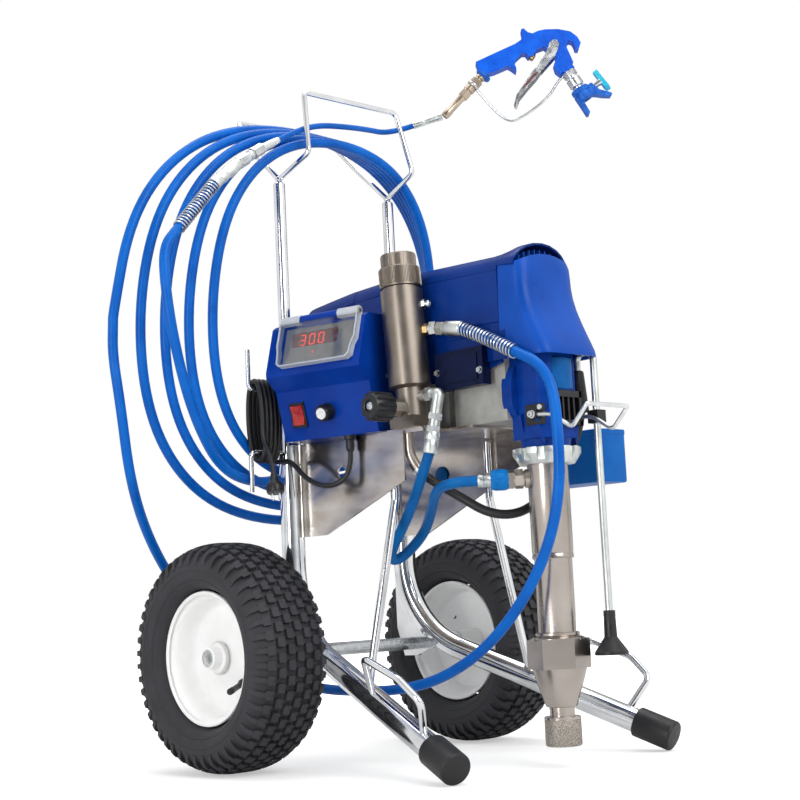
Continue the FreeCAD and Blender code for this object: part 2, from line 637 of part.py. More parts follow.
outline(sketch, [("0 - 20", "NutTop + 35"), ("25", "NutTop + 35"), ("25", "NutTop + 72"),
                 ("0 - 20", "NutTop + 72")])
feature(housing, "Pocket", sketch, Length="HousingWall")
doc.recompute()
place(housing, "0", "PumpY")
boss = rod("housing_boss", "20", "52", "0", "PumpY - HousingFront + 12", "NutTop + 76")
hollow = block("housing_hollow", ("HousingWall - HousingHalf", "HousingHalf - HousingWall"),
               ("PumpY - HousingFront + HousingWall", "PumpY + HousingBack - HousingWall"),
               ("PumpTop", "HousingTop + 5"))
bearing_hole = rod("housing_bearing", "ShaftRadius + RunningGap", "HousingWall + 10", "0",
                   f"{HOUSING_BACK} + 5", "CrankHeight", ALONG_Y)
nodes.append(cut_by("drive_housing", cut_by("housing_shell", fuse("housing_whole", [housing, boss]), hollow),
                    bearing_hole))

disc_back = f"( {HOUSING_BACK} - HousingWall - 0.5 )"
journal = rod("crank_journal", "ShaftRadius", "HousingWall + 36", "0", f"{disc_back} + HousingWall + 36",
              "CrankHeight", ALONG_Y)
disc = rod("crank_disc", "CrankDisc", "6", "0", disc_back, "CrankHeight", ALONG_Y)
pin = rod("crank_pin", "CrankPin", "5", "0", f"{disc_back} - 6", "CrankHeight + CrankThrow", ALONG_Y)
nodes.append(fuse("crankshaft", [journal, disc, pin]))

link_y = ("PumpY - LinkThick / 2", "PumpY + LinkThick / 2")
bar = block("link_bar", ("0 - CrankPin - 2", "CrankPin + 2"), link_y,
            ("CrankHeight - LinkDrop", "CrankHeight + CrankThrow"))
eye = rod("link_eye", "CrankPin + 5", "LinkThick", "0", "PumpY + LinkThick / 2",
          "CrankHeight + CrankThrow", ALONG_Y)
eye_hole = rod("link_hole", "CrankPin + SeatGap", "LinkThick + 4", "0", "PumpY + LinkThick / 2 + 2",
               "CrankHeight + CrankThrow", ALONG_Y)
nodes.append(cut_by("connecting_rod", fuse("link_whole", [bar, eye]), eye_hole))

piston = turned("piston_rod", [
    ("0", "PistonFoot"), ("PistonRadius", "PistonFoot"), ("PistonRadius", "PistonFoot + PistonLength"),
    ("RodRadius", "PistonFoot + PistonLength"), ("RodRadius", "CrankHeight - LinkDrop"), ("0", "CrankHeight - LinkDrop")])
nodes.append(place(piston, "0", "PumpY"))


# Covers, open below and hollow
def shell(label, outer, inner, rounding):
    body = new_body(label)
    sketch = new_sketch(body, "YZ_Plane")
    outline(sketch, outer)
    feature(body, "Pad", sketch, Length="2 * CoverHalf", Midplane=True)
    top = value(expression("CoverTop")) - 40
    smooth(body, rounding, lambda edge: (
        abs(edge.BoundBox.XMax - edge.BoundBox.XMin) < 0.01
        and edge.BoundBox.ZMin > top and edge.BoundBox.YLength > 4))
    sketch = new_sketch(body, "YZ_Plane")
    outline(sketch, inner)
    feature(body, "Pocket", sketch, Length="2 * ( CoverHalf - CoverWall )", Midplane=True)
    doc.recompute()
    return place(body)


cover = shell("cover_shell", [
    ("CoverRear", "CoverFoot"), ("CoverRear", "CoverTop - 18"), ("CoverRear - 10", "CoverTop - 10"),
    ("0 - 75", "CoverTop + 1"), ("0 - 160", "CoverTop + 6"), ("0 - 240", "CoverTop + 5"),
    ("0 - CoverFront", "CoverTop"), ("0 - CoverFront", "NoseFoot - 4"), ("0 - 337", "CoverFoot")],
    [("CoverRear - CoverWall", "CoverFoot - 10"), ("CoverRear - CoverWall", "CoverTop - 21"),
     ("CoverRear - 13", "CoverTop - 14"), ("0 - 75", "CoverTop - 2"), ("0 - 160", "CoverTop + 3"),
     ("0 - 240", "CoverTop + 2"), ("0 - CoverFront - 5", "CoverTop - 3"),
     ("0 - CoverFront - 5", "CoverFoot - 10")], "8")
terminal = block("cover_terminal", ("0 - CoverHalf - 12", "0 - CoverHalf + 1"),
                 ("0 - 370", "0 - 290"), ("CoverFoot - 12", "CoverFoot + 38"))
nodes.append(fuse("motor_cover", [cover, terminal]))
nose = shell("nose_shell", [
    ("0 - CoverFront", "NoseFoot - 4"), ("0 - CoverFront", "CoverTop"), ("0 - 426", "CoverTop - 1"),
    ("0 - 434", "CoverTop - 8"), ("0 - 436", "CoverTop - 58"), ("0 - NoseReach", "NoseFoot + 9"),
    ("0 - NoseReach", "NoseFoot")],
    [("5 - CoverFront", "CoverTop - 3"), ("0 - 425", "CoverTop - 4"), ("0 - 431", "CoverTop - 9"),
     ("0 - 433", "CoverTop - 57"), ("CoverWall - NoseReach", "NoseFoot + 8"),
     ("CoverWall - NoseReach", "NoseFoot - 12"), ("5 - CoverFront", "NoseFoot - 12")], "8")
vents = [block(f"nose_vent_{number}", (f"{start} * VentPitch", f"{start} * VentPitch + VentPitch - VentRib"),
               ("0 - CoverFront - 26", "0 - CoverFront - 10"), ("CoverTop - 12", "CoverTop + 6"))
         for number, start in enumerate((-3, -2, -1, 0, 1, 2))]
nodes.append(cut_by("front_cover", nose, fuse("nose_vents", vents)))


# Pump
cylinder = turned("cylinder_blank", [
    ("10", "SleeveFoot"), ("SleeveRadius", "SleeveFoot"), ("SleeveRadius", "StepHeight"),
    ("PumpRadius", "StepHeight"), ("PumpRadius", "PumpTop"), ("RodRadius + RunningGap", "PumpTop"),
    ("RodRadius + RunningGap", "PackingFoot"), ("PistonRadius + RunningGap", "PackingFoot"),
    ("PistonRadius + RunningGap", "ChamberFoot"), ("10", "ChamberFoot")])
place(cylinder, "0", "PumpY")
OUTLET = Rotation(UP, 135) * Rotation(Vector(0, 1, 0), 90)
port = rod("cylinder_port", "5", "PumpRadius + 5", "0", "PumpY", "OutletHeight", OUTLET)
nodes.append(cut_by("pump_cylinder", cylinder, port))

nut = turned("jam_nut", [
    ("PumpRadius", "NutTop - NutHeight"), ("NutRadius - 9", "NutTop - NutHeight"),
    ("NutRadius", "NutTop - 8"), ("NutRadius", "NutTop"), ("PumpRadius", "NutTop")])
sketch = new_sketch(nut, "XY_Plane", "NutTop - NutHeight - 1")
outline(sketch, [("NutRadius - 6", "0 - 5"), ("NutRadius + 5", "0 - 5"), ("NutRadius + 5", "5"),
                 ("NutRadius - 6", "5")])
notch = feature(nut, "Pocket", sketch, Length="NutHeight + 2", Reversed=True)
pattern(nut, notch, "NutSlots")
doc.recompute()
nodes.append(place(nut, "0", "PumpY"))

valve = turned("valve_neck", [
    ("10", "StrainerTop"), ("NeckRadius", "StrainerTop"), ("NeckRadius", "ConeFoot"),
    ("NeckRadius + 2", "ConeFoot"), ("HexFlats / 2 - 1", "HexFoot + 1"), ("10", "HexFoot + 1")])
place(valve, "0", "PumpY")
valve_hex = hexagon("valve_hex", "HexFlats", "SleeveFoot - HexFoot", "0", "PumpY", "HexFoot")
valve_bore = rod("valve_bore", "10", "SleeveFoot - HexFoot + 2", "0", "PumpY", "HexFoot")
nodes.append(cut_by("foot_valve", fuse("valve_whole", [valve, valve_hex]), valve_bore))

strainer = turned("strainer", [
    ("0", "StrainerFoot"), ("StrainerRadius", "StrainerFoot"), ("StrainerRadius", "StrainerTop"),
    ("10", "StrainerTop"), ("10", "StrainerTop - StrainerWall"),
    ("StrainerRadius - StrainerWall", "StrainerTop - StrainerWall"),
    ("StrainerRadius - StrainerWall", "StrainerFoot + StrainerWall"), ("0", "StrainerFoot + StrainerWall")])
sketch = new_sketch(strainer, "XY_Plane", "StrainerFoot + 5")
outline(sketch, [("StrainerRadius - 6", "0 - 1.5"), ("StrainerRadius + 5", "0 - 1.5"),
                 ("StrainerRadius + 5", "1.5"), ("StrainerRadius - 6", "1.5")])
slot = feature(strainer, "Pocket", sketch, Length="StrainerTop - StrainerFoot - 10", Reversed=True)
pattern(strainer, slot, "16")
doc.recompute()
nodes.append(place(strainer, "0", "PumpY"))

outlet_hex = hexagon("outlet_hex", "24", "56", "0", "PumpY", "OutletHeight", OUTLET)
outlet_nut = rod("outlet_nut", "14", "22", "( PumpRadius + 25 ) * cos ( OutletTurn )",
                 "PumpY + ( PumpRadius + 25 ) * sin ( OutletTurn )", "OutletHeight", OUTLET)
nodes.append(cut_by("pump_outlet", fuse("outlet_whole", [outlet_hex, outlet_nut]),
                    rod("outlet_trim", "PumpRadius", "60", "0", "PumpY", "OutletHeight - 30")))

hook_x = size("HousingHalf") + size("HookPlate") + size("HookRadius") - 1
hook_front = Vector(hook_x, -size("HookReach"), size("HookHeight") + 4)
hook_half = [Vector(hook_x, -428, size("HookHeight")), Vector(hook_x, -463, size("HookHeight") - 3),
             Vector(hook_x, -497, size("HookHeight") - 25), hook_front]
hook_path, hook_radii = corner_route(hook_half + [Vector(-point.x, point.y, point.z)
                                                  for point in reversed(hook_half)], 7)
hook_shape = tube_along(hook_path, size("HookRadius"))
for side in (-1, 1):
    plate = Part.makeBox(size("HookPlate"), 26, 24, Vector(side * size("HousingHalf"), -444, size("HookHeight") - 12))
    if side < 0:
        plate.translate(Vector(-size("HookPlate"), 0, 0))
    hook_shape = hook_shape.fuse(plate)
nodes.append(keep("pail_hook", hook_shape))


# Drain
neck_high = size("DrainTubeTop") - 4
drain_route = [Vector(size("DrainTubeX"), size("DrainTubeY"), size("DrainFoot") + 10),
               Vector(size("DrainTubeX"), size("DrainTubeY"), neck_high),
               Vector(size("DrainTubeX"), size("DrainTubeY") + 30, neck_high),
               Vector(size("DrainTubeX"), size("DrainTubeY") + 30, neck_high - 24)]
drain_path, drain_radii = corner_route(drain_route, 12)
nodes.append(keep("drain_tube", tube_along(drain_path, size("DrainTubeRadius"),
                                           size("DrainTubeRadius") - 1)))
cone = turned("cone_cup", [
    ("DrainTubeRadius", "DrainFoot + 6"), ("DrainTubeRadius + 1", "DrainFoot"),
    ("ConeRadius", "DrainFoot"), ("ConeRadius", "DrainFoot + 4"), ("DrainTubeRadius + 4", "DrainFoot + 24"),
    ("DrainTubeRadius + 3", "DrainFoot + 60"), ("DrainTubeRadius", "DrainFoot + 60")])
place(cone, "DrainTubeX", "DrainTubeY")
clip_body = block("drain_clip", ("DrainTubeX - 9", "DrainTubeX + 9"),
                  ("DrainTubeY - 9", "DrainTubeY + 9"), ("HookHeight - 12", "HookHeight + 6"))
clip_tool = rod("clip_bore", "DrainTubeRadius", "40", "DrainTubeX", "DrainTubeY", "HookHeight - 20")
hook_tool = keep("clip_hook_bore", hook_shape)
nodes.append(group("drain_cone", [cone, cut_by("clip_trimmed", cut_by("clip_bored", clip_body, clip_tool),
                                               hook_tool)]))


# Filter manifold, leaning back
LEAN = Rotation(Vector(1, 0, 0), -size("FilterLean"))


def lean_place(piece, up="0"):
    """Seat a piece on the leaning axis at a height along it."""
    return place(piece, "FilterX", f"FilterY + ( {up} ) * sin ( FilterLean )",
                 f"ShelfTop + ( {up} ) * cos ( FilterLean )", LEAN)


column = turned("filter_column", [
    ("0", "0 - 5"), ("FilterBlock", "0 - 5"), ("FilterBlock", "BlockHeight"),
    ("FilterRadius", "BlockHeight + 4"), ("FilterRadius", "FilterHeight"),
    ("FilterRadius - 7", "FilterHeight"), ("FilterRadius - 7", "BlockHeight + 14"),
    ("0", "BlockHeight + 14")])
lean_place(column)
base = block("filter_base", ("FilterX - 24", "FilterX + 22"), ("FilterY - 24", "FilterY + 24"),
             ("ShelfTop", "ShelfTop + 16"))
under = block("filter_under", ("FilterX - 40", "FilterX + 40"), ("FilterY - 40", "FilterY + 40"),
              ("ShelfTop - 20", "ShelfTop"))
nodes.append(cut_by("filter_manifold", fuse("filter_whole", [column, base]), under))

lid = turned("filter_cap", [
    ("0", "0"), ("FilterRadius", "0"), ("FilterRadius", "FilterCapHeight - 14"),
    ("FilterRadius - 4", "FilterCapHeight - 12"), ("FilterRadius - 4", "FilterCapHeight - 2"),
    ("FilterRadius - 6", "FilterCapHeight"), ("0", "FilterCapHeight")])
sketch = new_sketch(lid, "XY_Plane", "4")
outline(sketch, [("FilterRadius - 2", "0 - 1.5"), ("FilterRadius + 4", "0 - 1.5"),
                 ("FilterRadius + 4", "1.5"), ("FilterRadius - 2", "1.5")])
rib = feature(lid, "Pocket", sketch, Length="FilterCapHeight - 16", Reversed=True)
pattern(lid, rib, "CapRibs")
doc.recompute()
nodes.append(lean_place(lid, "FilterHeight"))

OUT_TOP = Rotation(UP, -68.5) * Rotation(Vector(0, 1, 0), 90)
top_fitting = hexagon("fitting_top", "20", "50", "FilterX", "FilterY + 9", "617", OUT_TOP)
spigot = rod("fitting_drain", "5", "30", "FilterX", "FilterY + 12", "ShelfTop - 25")
elbow_turn = Vector(-90, -297, 521)
elbow_end = Vector(-98, -291, 474)
elbow_path, elbow_radii = corner_route(
    [Vector(size("FilterX"), size("FilterY"), 521), elbow_turn, elbow_end], 12)
elbow = keep("fitting_elbow", tube_along(elbow_path, 8.5))
sensor = rod("fitting_sensor", "7", "42", "FilterX", "FilterY + 11", "655",
             Rotation(UP, -60) * Rotation(Vector(0, 1, 0), 90))
column_again = doc.addObject("Part::Feature", "fitting_trim")
doc.recompute()
column_again.Shape = doc.getObject("filter_whole").Shape
nodes.append(cut_by("manifold_fittings", group("fittings_whole", [top_fitting, spigot, elbow, sensor]),
                    column_again))

BACK_X = Rotation(Vector(0, 1, 0), -90)
prime_height = "ShelfTop + PrimeHeight"
prime_face = "( FilterX - PrimeReach )"
prime_body = hexagon("prime_hex", "22", "PrimeReach", "FilterX", "FilterY + 2", prime_height, BACK_X)
prime_stem = rod("prime_stem", "PrimeStem", "12", prime_face, "FilterY + 2", prime_height, BACK_X)
nodes.append(cut_by("prime_valve", fuse("prime_whole", [prime_body, prime_stem]), column_again))
prime_knob = rod("prime_grip", "PrimeKnobRadius", "PrimeKnobLength", f"{prime_face} - 0.5", "FilterY + 2",
                 prime_height, BACK_X)
prime_hole = rod("prime_hole", "PrimeStem + RunningGap", "12", prime_face, "FilterY + 2", prime_height,
                 BACK_X)
nodes.append(cut_by("prime_knob", prime_knob, prime_hole))


# Control box. Its own frame: X outward from the machine, Y along its width, Z up.
BOX_TURN = Rotation(UP, size("BoxTurn") - 90)
BOX_LEFT = "BoxX - BoxDepth * cos ( BoxTurn - 90 )"
BOX_BACK = "BoxY - BoxDepth * sin ( BoxTurn - 90 )"
box_corner = Vector(value(expression(BOX_LEFT)), value(expression(BOX_BACK)), 0)


def in_box(outward, along, up):
    """A point given in the control box's own frame."""
    return box_corner + BOX_TURN.multVec(Vector(outward, along, up))


def box_place(piece, outward, along, up, tilt=None):
    """Seat a piece in the control box's own frame."""
    x = f"{BOX_LEFT} + ( {outward} ) * cos ( BoxTurn - 90 ) - ( {along} ) * sin ( BoxTurn - 90 )"
    y = f"{BOX_BACK} + ( {outward} ) * sin ( BoxTurn - 90 ) + ( {along} ) * cos ( BoxTurn - 90 )"
    return place(piece, x, y, up, BOX_TURN * tilt if tilt else BOX_TURN)


PANEL_TILT = "atan ( ( BoxDepth - PanelIn - PanelFoot ) / ( PanelTop - ShelfTop ) )"
face_rise = size("BoxTop") - 5 - size("PanelTop") - size("RidgeRise")
face_tilt = math.degrees(math.atan2(size("FaceIn"), face_rise))
panel_tilt = value(expression(PANEL_TILT))
FACE_LEAN = Rotation(Vector(0, 1, 0), -face_tilt)
PANEL_LEAN = Rotation(Vector(0, 1, 0), panel_tilt)
hinge_out = "( BoxDepth - FaceIn + HingeRadius - 2 )"
hinge_up = "( BoxTop + 2 )"
knob_out = ("( PanelFoot + ( BoxDepth - PanelIn - PanelFoot ) * ( ControlHeight - ShelfTop )"
            " / ( PanelTop - ShelfTop ) )")

enclosure = new_body("box_enclosure")
sketch = new_sketch(enclosure, "XZ_Plane")
outline(sketch, [
    ("0", "ShelfTop"), ("PanelFoot", "ShelfTop"), ("BoxDepth - PanelIn", "PanelTop"),
    ("BoxDepth", "PanelTop + RidgeRise - 8"), ("BoxDepth", "PanelTop + RidgeRise"), ("BoxDepth - FaceIn", "BoxTop - 5"),
    ("BoxDepth - FaceIn - 8", "BoxTop"), ("0", "BoxTop")])
feature(enclosure, "Pad", sketch, Length="BoxWidth", Reversed=True)
smooth(enclosure, "4", lambda edge: (
    abs(edge.BoundBox.YMax - edge.BoundBox.YMin) < 0.01 and edge.BoundBox.ZMin > 490
    and edge.BoundBox.XMax > 5 and edge.BoundBox.ZLength > 6))
sketch = new_sketch(enclosure, "XY_Plane", "ShelfTop")
outline(sketch, [("3", "3"), ("PanelFoot - 4", "3"), ("PanelFoot - 4", "BoxWidth - 3"),
                 ("3", "BoxWidth - 3")])
feature(enclosure, "Pocket", sketch, Length="BoxTop - ShelfTop - 4", Reversed=True)
doc.recompute()
place(enclosure, BOX_LEFT, BOX_BACK, "0", BOX_TURN)

SIDEWAYS = Rotation(Vector(1, 0, 0), -90)
lid_end = "( LidStart + LidWidth )"
knuckles = [
    box_place(rod("knuckle_rear", "HingeRadius", "LidStart - 0.5"), hinge_out, "0", hinge_up, SIDEWAYS),
    box_place(rod("knuckle_front", "HingeRadius", f"BoxWidth - {lid_end} - 0.5"), hinge_out,
              f"{lid_end} + 0.5", hinge_up, SIDEWAYS),
    box_place(rod("hinge_pin", "HingePin", "BoxWidth"), hinge_out, "0", hinge_up, SIDEWAYS),
]
for name, start, length in (("web_rear", "0", "LidStart - 0.5"),
                            ("web_front", f"{lid_end} + 0.5", f"BoxWidth - {lid_end} - 0.5")):
    web = doc.addObject("Part::Box", name)
    web.setExpression("Length", "12")
    web.setExpression("Width", expression(length))
    web.setExpression("Height", "14")
    knuckles.append(box_place(web, f"{hinge_out} - 14", start, f"{hinge_up} - 12"))
box_whole = fuse("box_whole", [enclosure] + knuckles)
knob_bore = box_place(rod("box_knob_bore", "KnobStem + RunningGap", "16"), f"{knob_out} - 12 * cos ( {PANEL_TILT} )",
                      "KnobAt", f"ControlHeight + 12 * sin ( {PANEL_TILT} )", PANEL_LEAN * ALONG_X)
switch_bore = doc.addObject("Part::Box", "box_switch_bore")
switch_bore.setExpression("Length", "20")
switch_bore.setExpression("Width", expression("SwitchWidth + 2"))
switch_bore.setExpression("Height", expression("SwitchHeight + 3"))
box_place(switch_bore, f"{knob_out} - 9 - ( SwitchHeight + 3 ) / 2 * sin ( {PANEL_TILT} )",
          "SwitchAt - SwitchWidth / 2 - 1", "ControlHeight - ( SwitchHeight + 3 ) / 2 + 2.8", PANEL_LEAN)
bored = cut_by("box_bored", box_whole, knob_bore)
nodes.append(cut_by("control_box", bored, switch_bore))

# Lid over the display, in the tilted frame of the upper face
lid_frame = new_body("lid_tray")
hinge_gap = size("HingeRadius") - 0.1
sketch = new_sketch(lid_frame, "YZ_Plane", "0 - HingeRadius + 0.6")
outline(sketch, [("0", "0 - HingeRadius - 1"), ("LidWidth", "0 - HingeRadius - 1"),
                 ("LidWidth", "0 - LidHeight"), ("0", "0 - LidHeight")])
feature(lid_frame, "Pad", sketch, Length="LidDepth")
sketch = new_sketch(lid_frame, "YZ_Plane", "0 - HingeRadius + 0.6")
outline(sketch, [("LidWall", "0 - HingeRadius - 1 - LidWall"),
                 ("LidWidth - LidWall", "0 - HingeRadius - 1 - LidWall"),
                 ("LidWidth - LidWall", "LidWall - LidHeight"), ("LidWall", "LidWall - LidHeight")])
feature(lid_frame, "Pocket", sketch, Length="LidDepth - LidWall", Reversed=True)
sketch = new_sketch(lid_frame, "YZ_Plane", "HingeRadius - 4.4")
outline(sketch, [("0", "0"), ("LidWidth", "0"), ("LidWidth", "0 - HingeRadius - 2"),
                 ("0", "0 - HingeRadius - 2")])
feature(lid_frame, "Pad", sketch, Length="2")
doc.recompute()
box_place(lid_frame, hinge_out, "LidStart", hinge_up, FACE_LEAN)
barrel = box_place(rod("lid_barrel", "HingeRadius", "LidWidth"), hinge_out, "LidStart", hinge_up, SIDEWAYS)
barrel_bore = box_place(rod("lid_bore", "HingePin + RunningGap", "LidWidth + 2"), hinge_out,
                        "LidStart - 1", hinge_up, SIDEWAYS)
nodes.append(cut_by("display_lid", fuse("lid_whole", [lid_frame, barrel]), barrel_bore))

rocker = new_body("power_switch")
sketch = new_sketch(rocker, "XZ_Plane")
outline(sketch, [("0 - 4", "0 - SwitchHeight / 2"), ("5", "0 - SwitchHeight / 2"), ("2.5", "0"),
                 ("5", "SwitchHeight / 2"), ("0 - 4", "SwitchHeight / 2")])
feature(rocker, "Pad", sketch, Length="SwitchWidth", Midplane=True)
doc.recompute()
nodes.append(box_place(rocker, f"{knob_out} + 0.5", "SwitchAt", "ControlHeight", PANEL_LEAN))

grip = turned("pressure_knob", [
    ("0", "0 - 11"), ("KnobStem", "0 - 11"), ("KnobStem", "0.5"), ("KnobRadius - 1", "0.5"),
    ("KnobRadius", "2"), ("KnobRadius - 1", "KnobLength - 2"), ("KnobRadius - 3", "KnobLength"),
    ("0", "KnobLength")])
nodes.append(box_place(grip, knob_out, "KnobAt", "ControlHeight", PANEL_LEAN * ALONG_X))

gland = turned("cable_gland", [
    ("0", "ShelfTop"), ("GlandRadius", "ShelfTop"), ("GlandRadius", "ShelfTop - 6"),
    ("GlandRadius - 2", "ShelfTop - 7"), ("GlandRadius - 2", "ShelfTop - GlandLength + 4"),
    ("CordRadius + 0.5", "ShelfTop - GlandLength"), ("0", "ShelfTop - GlandLength")])
nodes.append(box_place(gland, "GlandIn", "GlandAt", "0"))


# Hoses that the machine holds all the way
def hose(label, points, radius):
    path, radii = corner_route(points)
    solid = tube_along(path, radius)
    report_tube(label, solid, path, radius, radii)
    nodes.append(keep(label, solid))


def curve(*points):
    return [Vector(*point) for point in points]


hose("connecting_hose", curve(
    elbow_end, elbow_end + (elbow_end - elbow_turn) * 0.8, (-84, -236, 388), (-75, -196, 340),
    (-70, -150, 300), (-30, -146, 294), (-24, -190, 330), (-52, -232, 362), (-82, -274, 388),
    (-90, -322, 393), (-53.4, -358.6, 393)), size("LinkHoseRadius"))
hose("drain_hose", curve(
    (-92, -233, 452), (-92, -233, 428), (-74, -250, 404), (-48, -282, 378), (-30, -325, 348),
    (0, -357, 346), (36, -372, 372), (64, -390, 415), (66, -416, 460), (60, -430, 500),
    (51, -433, 522), (51, -433, 542)), size("DrainHoseRadius"))


# Coils: smooth closed loops that step across, drawn as tangent arcs through points
def arc_chain(spots, heads):
    """Two arcs for each pair of points, tangent to the heading at both ends."""
    edges = []
    for start, end, first, last in zip(spots, spots[1:], heads, heads[1:]):
        chord = end - start
        total = first + last
        lean = chord.dot(total)
        flat_part = 2 * (1 - first.dot(last))
        if flat_part < 1e-9:
            reach = chord.dot(chord) / (4 * chord.dot(last))
        else:
            reach = (-lean + math.sqrt(lean ** 2 + flat_part * chord.dot(chord))) / flat_part
        knee_a = start + first * reach
        knee_b = end - last * reach
        middle = (knee_a + knee_b) * 0.5
        for a, b, tangent in ((start, middle, first), (middle, end, (knee_b - knee_a).normalize())):
            span = b - a
            across = span - tangent * span.dot(tangent)
            if across.Length < 1e-6:
                edges.append(Part.LineSegment(a, b).toShape())
                continue
            across.normalize()
            radius = span.dot(span) / (2 * span.dot(across))
            centre = a + across * radius
            mid = centre + ((a + b) * 0.5 - centre).normalize() * radius
            edges.append(Part.Arc(a, mid, b).toShape())
    return edges


def coil(label, formula, turns, radius, per_turn=8):
    """An unbroken tube along a formula of the turn number, with short straight ends."""
    count = int(turns * per_turn)
    step = 1e-4
    spots = [formula(index / per_turn) for index in range(count + 1)]
    heads = [(formula(index / per_turn + step) - formula(index / per_turn - step)).normalize()
             for index in range(count + 1)]
    edges = [Part.LineSegment(spots[0] - heads[0] * (2 * radius), spots[0]).toShape()]
    edges += arc_chain(spots, heads)
    edges.append(Part.LineSegment(spots[-1], spots[-1] + heads[-1] * (2 * radius)).toShape())
    path = Part.Wire(edges)
    solid = tube_along(path, radius)
    fine = [formula(index / 60) for index in range(int(turns * 60) + 1)]
    gap = min((a - b).Length for i, a in enumerate(fine) for b in fine[i + 30:]) - 2 * radius
    ideal = math.pi * radius ** 2 * path.Length
    print(f"{label}: length {path.Length:.0f}, least gap between turns {gap:.2f},",
          f"volume ratio {solid.Volume / ideal:.4f}")
    nodes.append(keep(label, solid))
    return spots, heads


def softened(number, power):
    return math.copysign(abs(number) ** power, number)


def hose_loop(turn):
    """The wound hose: it starts low on the left, and each loop is a little smaller."""
    part = turn / (size("CoilTurns") - 1)
    left = -385 + 135 * part
    right = 265 - 55 * part
    top = 990 - 27 * part
    low = 348 + 82 * part
    angle = math.pi - 2 * math.pi * turn
    x = (left + right) / 2 + (right - left) / 2 * softened(math.cos(angle), 0.86)
    z = (top + low) / 2 + (top - low) / 2 * softened(math.sin(angle), 0.86)
    y = 33 - 58 * part + 76 * (1 - math.sin(angle)) / 2
    return Vector(x, y, z)


def cord_loop(turn):
    """The wound power cord: upright ovals stepping out along the two wrap rods."""
    angle = 2 * math.pi * turn - math.pi / 2
    y = 12 + 20 * softened(math.cos(angle), 0.9)
    z = 513 + 62 * softened(math.sin(angle), 0.9)
    return Vector(-139 - size("CordPitch") * turn, y, z)


hose_spots, hose_heads = coil("hose_coil", hose_loop, size("CoilTurns") - 0.25, size("HoseRadius"))
cord_spots, cord_heads = coil("power_coil", cord_loop, size("CordTurns") - 0.25, size("CordRadius"))


def coil_end(spots, heads, radius, first):
    """Where the straight end of a coil stops, and its heading."""
    if first:
        return spots[0] - heads[0] * (2 * radius), heads[0] * -1
    return spots[-1] + heads[-1] * (2 * radius), heads[-1]


feed_end, feed_head = coil_end(hose_spots, hose_heads, size("HoseRadius"), True)
hose("hose_feed", curve((-75, -432, 561), (-75, -473, 541.4), (-75, -496, 505), (-75, -500, 447), (-75, -498, 372),
                        (-75, -474, 298), (-75, -424, 228), (-75, -350, 164), (-78, -262, 122),
                        (-80, -175, 106), (-78, -85, 104), (-76, 5, 106), (-100, 92, 128),
                        (-150, 160, 190), (-215, 176, 270), (-290, 138, 345), (-355, 84, 425),
                        (-380, 66, 535))
     + [feed_end + feed_head * 45, feed_end], size("HoseRadius"))
tail_start, tail_head = coil_end(hose_spots, hose_heads, size("HoseRadius"), False)
hose("hose_tail", [tail_start, tail_start + tail_head * 30] + curve(
    (-110, 35, 428), (-168, 31, 420), (-248, 8, 438), (-318, -26, 510), (-356, -40, 605),
    (-371, -42, 690), (-370.6, -40, 749), (-344, -40, 779)), size("HoseRadius"))
lead_start = in_box(size("GlandIn"), size("GlandAt"), size("ShelfTop") - size("GlandLength"))
lead_end, lead_head = coil_end(cord_spots, cord_heads, size("CordRadius"), True)
hose("power_lead", [lead_start, lead_start - UP * 30] + curve((-134, -112, 402), (-142, -66, 414))
     + [lead_end + lead_head * 26, lead_end], size("CordRadius"))
plug_start, plug_head = coil_end(cord_spots, cord_heads, size("CordRadius"), False)
hose("power_tail", [plug_start, plug_start + plug_head * 24] + curve((-180, -28, 455), (-182, -34, 428)),
     size("CordRadius"))


def tapered(start, end, first, last):
    """A straight round piece between two points."""
    axis = end - start
    if abs(first - last) < 1e-6:
        return Part.makeCylinder(first, axis.Length, start, axis)
    return Part.makeCone(first, last, axis.Length, start, axis)


plug_top = Vector(-182, -34, 428)
plug_way = Vector(-2, -6, -27).normalize()
plug = tapered(plug_top, plug_top + plug_way * 12, 5, 9).fuse(
    tapered(plug_top + plug_way * 12, plug_top + plug_way * 40, 13, 13))
nodes.append(keep("power_plug", plug))


# Spray gun. Its own frame: X along the barrel, Z up the handle, Y across.
GUN_TURN = Rotation(UP, size("ViewTurn")) * Rotation(Vector(0, 1, 0), size("GunRoll"))
GUN_HOME = FreeCAD.Placement(HOME.Base + Vector(size("GunX"), size("GunY"), size("GunZ")), GUN_TURN)
gun_half = size("GunThick") / 2


def gun_keep(label, shape):
    piece = keep(label, shape)
    piece.Placement = GUN_HOME
    return piece


def slab(half, corners):
    """A flat shape in the gun's own XZ plane, with equal thickness to both sides."""
    points = [Vector(across, -half, up) for across, up in corners]
    return Part.Face(Part.makePolygon(points + points[:1])).extrude(Vector(0, 2 * half, 0))


def across_pin(radius, half, x=0, z=0):
    return Part.makeCylinder(radius, 2 * half, Vector(x, -half, z), Vector(0, 1, 0))


